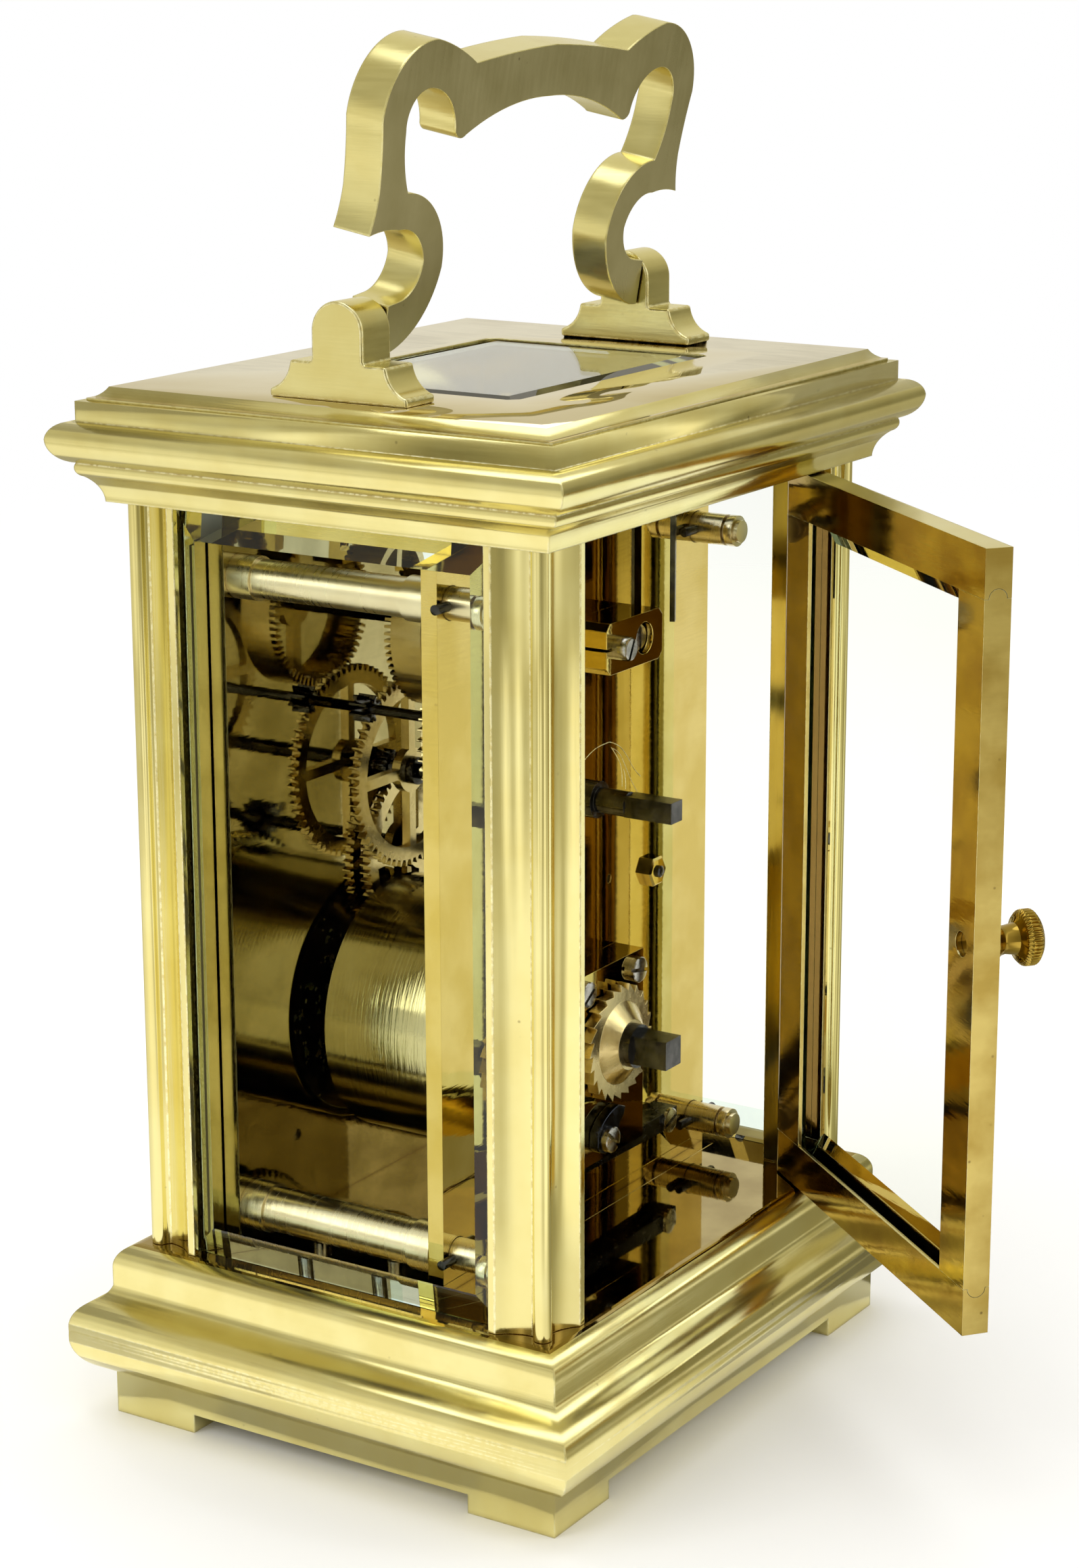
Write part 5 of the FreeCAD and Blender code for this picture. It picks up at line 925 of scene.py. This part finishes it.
def tickTree():
    tree = bpy.data.node_groups.new("ticksInRing", "GeometryNodeTree")
    face = tree.interface
    face.new_socket("Carrier", in_out="INPUT", socket_type="NodeSocketGeometry")
    face.new_socket("Count", in_out="INPUT", socket_type="NodeSocketInt")
    face.new_socket("Radius", in_out="INPUT", socket_type="NodeSocketFloat")
    face.new_socket("Tick Size", in_out="INPUT", socket_type="NodeSocketVector")
    face.new_socket("Centre", in_out="INPUT", socket_type="NodeSocketVector")
    face.new_socket("Finish", in_out="INPUT", socket_type="NodeSocketMaterial")
    face.new_socket("Ticks", in_out="OUTPUT", socket_type="NodeSocketGeometry")
    start = tree.nodes.new("NodeGroupInput")
    end = tree.nodes.new("NodeGroupOutput")
    circle = addNode(
        tree, "GeometryNodeMeshCircle", {}, Vertices=start.outputs["Count"], Radius=start.outputs["Radius"]
    )
    tick = addNode(tree, "GeometryNodeMeshCube", {}, Size=start.outputs["Tick Size"])
    index = tree.nodes.new("GeometryNodeInputIndex")
    share = addNode(tree, "ShaderNodeMath", {"operation": "DIVIDE"})
    tree.links.new(index.outputs["Index"], share.inputs[0])
    tree.links.new(start.outputs["Count"], share.inputs[1])
    angle = addNode(tree, "ShaderNodeMath", {"operation": "MULTIPLY"})
    tree.links.new(share.outputs[0], angle.inputs[0])
    angle.inputs[1].default_value = 2 * math.pi
    euler = addNode(tree, "ShaderNodeCombineXYZ", {}, Z=angle.outputs[0])
    spin = addNode(tree, "FunctionNodeEulerToRotation", {}, Euler=euler.outputs["Vector"])
    placed = addNode(
        tree,
        "GeometryNodeInstanceOnPoints",
        {},
        Points=circle.outputs["Mesh"],
        Instance=tick.outputs["Mesh"],
        Rotation=spin.outputs["Rotation"],
    )
    solid = addNode(tree, "GeometryNodeRealizeInstances", {}, Geometry=placed.outputs["Instances"])
    stood = addNode(
        tree,
        "GeometryNodeTransform",
        {},
        Geometry=solid.outputs["Geometry"],
        Translation=start.outputs["Centre"],
    )
    stood.inputs["Rotation"].default_value = (math.pi / 2, 0, 0)
    painted = addNode(
        tree,
        "GeometryNodeSetMaterial",
        {},
        Geometry=stood.outputs["Geometry"],
        Material=start.outputs["Finish"],
    )
    tree.links.new(painted.outputs["Geometry"], end.inputs["Ticks"])
    return tree


def makeRings(setup, centreZ, level):
    shape = bmesh.new()
    steps = 120
    for radius in (setup["trackInner"], setup["trackOuter"]):
        edges = radius - setup["line"] / 2, radius + setup["line"] / 2
        for i in range(steps):
            corners = []
            for size, turn in ((edges[0], i), (edges[1], i), (edges[1], i + 1), (edges[0], i + 1)):
                angle = 2 * math.pi * turn / steps
                corners.append((size * math.cos(angle) * mm, centreZ + size * math.sin(angle) * mm))
            inkSlab(shape, corners, level - setup["ink"] * mm, setup["ink"] * mm)
    bmesh.ops.remove_doubles(shape, verts=shape.verts, dist=1e-6)
    return finishedMesh(shape, "trackRings")


def makeDial(setup):
    centreLow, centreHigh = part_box("centre_arbor")
    centreZ = (centreLow.z + centreHigh.z) / 2
    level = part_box("dial")[0].y
    body = bodyOf["dial"]
    ink = finishes["blued_steel"]
    addPiece("hourNumerals", makeNumerals(setup, centreZ, level), body, [ink])
    addPiece("trackRings", makeRings(setup, centreZ, level), body, [ink])
    tree = tickTree()
    width = setup["trackOuter"] - setup["trackInner"]
    for name, count, size in (("minuteTicks", 60, "tickWidth"), ("fiveMinuteTicks", 12, "boldWidth")):
        values = {
            "Count": count,
            "Radius": (setup["trackInner"] + width / 2) * mm,
            "Tick Size": (width * mm, setup[size] * mm, setup["ink"] * mm),
            "Centre": (0, level - setup["ink"] * mm / 2, centreZ),
            "Finish": ink,
        }
        mesh = grownMesh(name, tree, bpy.data.meshes.new(name + "Carrier"), values)
        addPiece(name, mesh, body, [ink])


makeDial(dialSetup)
print("dial printed")

# Stage: pale floor, white surroundings, soft lamps
stageSetup = {
    "floorSize": 2.4,
    "floorTint": (0.97, 0.965, 0.95),
    "skyDiffuse": 0.90,
    "solid": 0.22,  # the floor fades out between these two distances
    "gone": 0.62,
}


def makeFloor(setup):
    half = setup["floorSize"] / 2
    mesh = bpy.data.meshes.new("stageFloor")
    corners = [(-half, -half, 0), (half, -half, 0), (half, half, 0), (-half, half, 0)]
    mesh.from_pydata(corners, [], [(0, 1, 2, 3)])
    floor = bpy.data.objects.new("stageFloor", mesh)
    scene.collection.objects.link(floor)
    material, tree, shader = newMaterial("paleFloor")
    place = addNode(tree, "ShaderNodeTexCoord").outputs["Object"]
    tint = setup["floorTint"]
    shadeTint = tuple(value * 0.985 for value in tint)
    tone = ramp(tree, noise(tree, place, 14, 3.0), [(0.35, shadeTint), (0.65, tint)])
    tree.links.new(tone, shader.inputs["Base Color"])
    shader.inputs["Roughness"].default_value = 0.6
    shader.inputs["Specular IOR Level"].default_value = 0.2
    distance = addNode(tree, "ShaderNodeVectorMath", {"operation": "LENGTH"})
    tree.links.new(place, distance.inputs[0])
    smooth = {"interpolation_type": "SMOOTHSTEP"}
    fade = addNode(tree, "ShaderNodeMapRange", smooth, Value=distance.outputs["Value"])
    fade.inputs["From Min"].default_value = setup["solid"]
    fade.inputs["From Max"].default_value = setup["gone"]
    clear = addNode(tree, "ShaderNodeBsdfTransparent")
    blend = addNode(tree, "ShaderNodeMixShader", Fac=fade.outputs["Result"])
    tree.links.new(shader.outputs["BSDF"], blend.inputs[1])
    tree.links.new(clear.outputs["BSDF"], blend.inputs[2])
    tree.links.new(blend.outputs["Shader"], tree.nodes["Material Output"].inputs["Surface"])
    mesh.materials.append(material)


# White for what the camera, metal and glass see, a little less for diffuse light
def makeSky(setup):
    world = bpy.data.worlds.new("studio")
    world.use_nodes = True
    scene.world = world
    tree = world.node_tree
    back = tree.nodes["Background"]
    path = addNode(tree, "ShaderNodeLightPath")
    direct = addNode(tree, "ShaderNodeMath", {"operation": "MAXIMUM"})
    seen = addNode(tree, "ShaderNodeMath", {"operation": "MAXIMUM"})
    tree.links.new(path.outputs["Is Camera Ray"], direct.inputs[0])
    tree.links.new(path.outputs["Is Glossy Ray"], direct.inputs[1])
    tree.links.new(direct.outputs[0], seen.inputs[0])
    tree.links.new(path.outputs["Is Transmission Ray"], seen.inputs[1])
    level = addNode(tree, "ShaderNodeMapRange", {}, Value=seen.outputs[0])
    level.inputs["To Min"].default_value = setup["skyDiffuse"]
    level.inputs["To Max"].default_value = 1.0
    back.inputs["Color"].default_value = (1, 1, 1, 1)
    tree.links.new(level.outputs["Result"], back.inputs["Strength"])


lampAim = (0, 0, 0.07)
lampSetup = {
    "overheadLamp": {"place": (-0.1, -0.1, 1.3), "width": 1.2, "height": 1.2, "power": 5},
    "leftLamp": {"place": (1.0, -0.5, 0.7), "width": 0.5, "height": 0.9, "power": 3},
    "rightLamp": {"place": (-0.5, 1.1, 0.6), "width": 0.4, "height": 0.8, "power": 2},
}


def softLamp(name, setup):
    data = bpy.data.lights.new(name, "AREA")
    data.shape = "RECTANGLE"
    data.size = setup["width"]
    data.size_y = setup["height"]
    data.energy = setup["power"]
    lamp = bpy.data.objects.new(name, data)
    scene.collection.objects.link(lamp)
    place = Vector(setup["place"])
    turn = (Vector(lampAim) - place).to_track_quat("-Z", "Y").to_matrix()
    lamp.matrix_world = Matrix.Translation(place) @ turn.to_4x4()


# Screens that only reflections see, with a tone for each azimuth in degrees
screenSetup = {
    "steps": 144,
    "warmth": ((0.96, 0.06), (0.86, 0.40)),  # green and blue of white, and how far each falls in shade
    "lift": 0.0006,
    "ground": [  # radius and row of tones
        (0.050, "near"), (0.10, "near"), (0.12, "low"), (0.24, "low"),
        (0.32, "high"), (0.42, "high"), (0.46, "far"), (0.75, "wall"),
    ],
    "wall": [  # radius, height and row of tones
        (0.75, 0.0, "wall"), (0.75, 0.18, "wall"), (0.75, 0.40, "upper"), (0.35, 0.95, "roof"),
    ],
    "tones": {
        "near": [
            (-180, 0.6), (-90, 0.8), (-40, 1.2), (20, 1.2), (60, 1.0), (100, 0.35), (150, 0.25), (180, 0.5),
        ],
        "low": [
            (-180, 0.45), (-140, 0.4), (-100, 0.7), (-60, 1.0), (-9, 1.25), (16, 1.2), (42, 0.75), (60, 1.3),
            (75, 1.3), (88, 0.55), (98, 0.9), (122, 0.35), (134, 1.1), (145, 0.45), (160, 0.4), (180, 0.45),
        ],
        "high": [
            (-180, 0.5), (-60, 0.7), (-33, 0.7), (-9, 0.55), (4, 1.25), (16, 0.65), (29, 1.25), (42, 0.5),
            (55, 0.4), (66, 1.3), (86, 0.6), (98, 0.5), (122, 0.3), (134, 1.05), (145, 0.5), (160, 0.4),
            (180, 0.5),
        ],
        "far": [
            (-180, 0.6), (-60, 0.8), (-33, 1.15), (0, 0.8), (33, 0.4), (80, 0.6), (110, 0.8), (147, 0.4),
            (180, 0.6),
        ],
        "wall": [
            (-180, 0.6), (-147, 0.8), (-100, 0.6), (-60, 0.8), (-32, 0.8), (-10, 0.6), (2, 1.2), (18, 0.6),
            (33, 0.2), (60, 0.35), (90, 0.6), (107, 1.2), (125, 0.35), (145, 0.2), (165, 0.35), (180, 0.6),
        ],
        "upper": [
            (-180, 0.7), (-147, 0.8), (-100, 0.6), (-60, 0.6), (-32, 0.3), (-10, 0.45), (2, 1.2), (18, 0.6),
            (33, 0.2), (60, 0.35), (90, 0.6), (107, 1.2), (125, 0.5), (145, 0.4), (165, 0.5), (180, 0.7),
        ],
        "roof": [(-180, 0.7), (-60, 0.5), (-32, 0.4), (30, 0.4), (100, 0.8), (145, 0.7), (180, 0.7)],
    },
}


# Tone between two stops, eased at both ends
def toneAt(stops, azimuth):
    for (low, lowTone), (high, highTone) in zip(stops, stops[1:]):
        if low <= azimuth <= high:
            share = (azimuth - low) / (high - low)
            share = share * share * (3 - 2 * share)
            return lowTone + (highTone - lowTone) * share
    return stops[-1][1]


def makeScreen(name, rings, setup):
    steps = setup["steps"]
    spots = []
    faces = []
    tones = []
    for radius, height, row in rings:
        for i in range(steps):
            azimuth = -180 + 360 * i / steps
            turn = math.radians(azimuth)
            spots.append((radius * math.cos(turn), radius * math.sin(turn), height))
            tones.append(toneAt(setup["tones"][row], azimuth))
    for ring in range(len(rings) - 1):
        for i in range(steps):
            j = (i + 1) % steps
            low, high = ring * steps, ring * steps + steps
            faces.append((low + i, low + j, high + j, high + i))
    mesh = bpy.data.meshes.new(name)
    mesh.from_pydata(spots, [], faces)
    paint = mesh.color_attributes.new("tone", "FLOAT_COLOR", "POINT")
    for i, tone in enumerate(tones):
        shade = max(0.0, 1 - tone)
        green, blue = (share - fall * shade for share, fall in setup["warmth"])
        paint.data[i].color = (tone, tone * green, tone * blue, 1)
    screen = bpy.data.objects.new(name, mesh)
    scene.collection.objects.link(screen)
    material, tree = newMaterial(name)[:2]
    tone = addNode(tree, "ShaderNodeAttribute", {"attribute_name": "tone"})
    glow = addNode(tree, "ShaderNodeEmission", Color=tone.outputs["Color"])
    tree.links.new(glow.outputs["Emission"], tree.nodes["Material Output"].inputs["Surface"])
    mesh.materials.append(material)
    screen.visible_camera = False
    screen.visible_transmission = False
    screen.visible_diffuse = False
    screen.visible_shadow = False


makeFloor(stageSetup)
makeSky(stageSetup)
for name, setup in lampSetup.items():
    softLamp(name, setup)
groundRings = [(radius, screenSetup["lift"], row) for radius, row in screenSetup["ground"]]
makeScreen("groundScreen", groundRings, screenSetup)
makeScreen("wallScreen", screenSetup["wall"], screenSetup)
print("stage made")
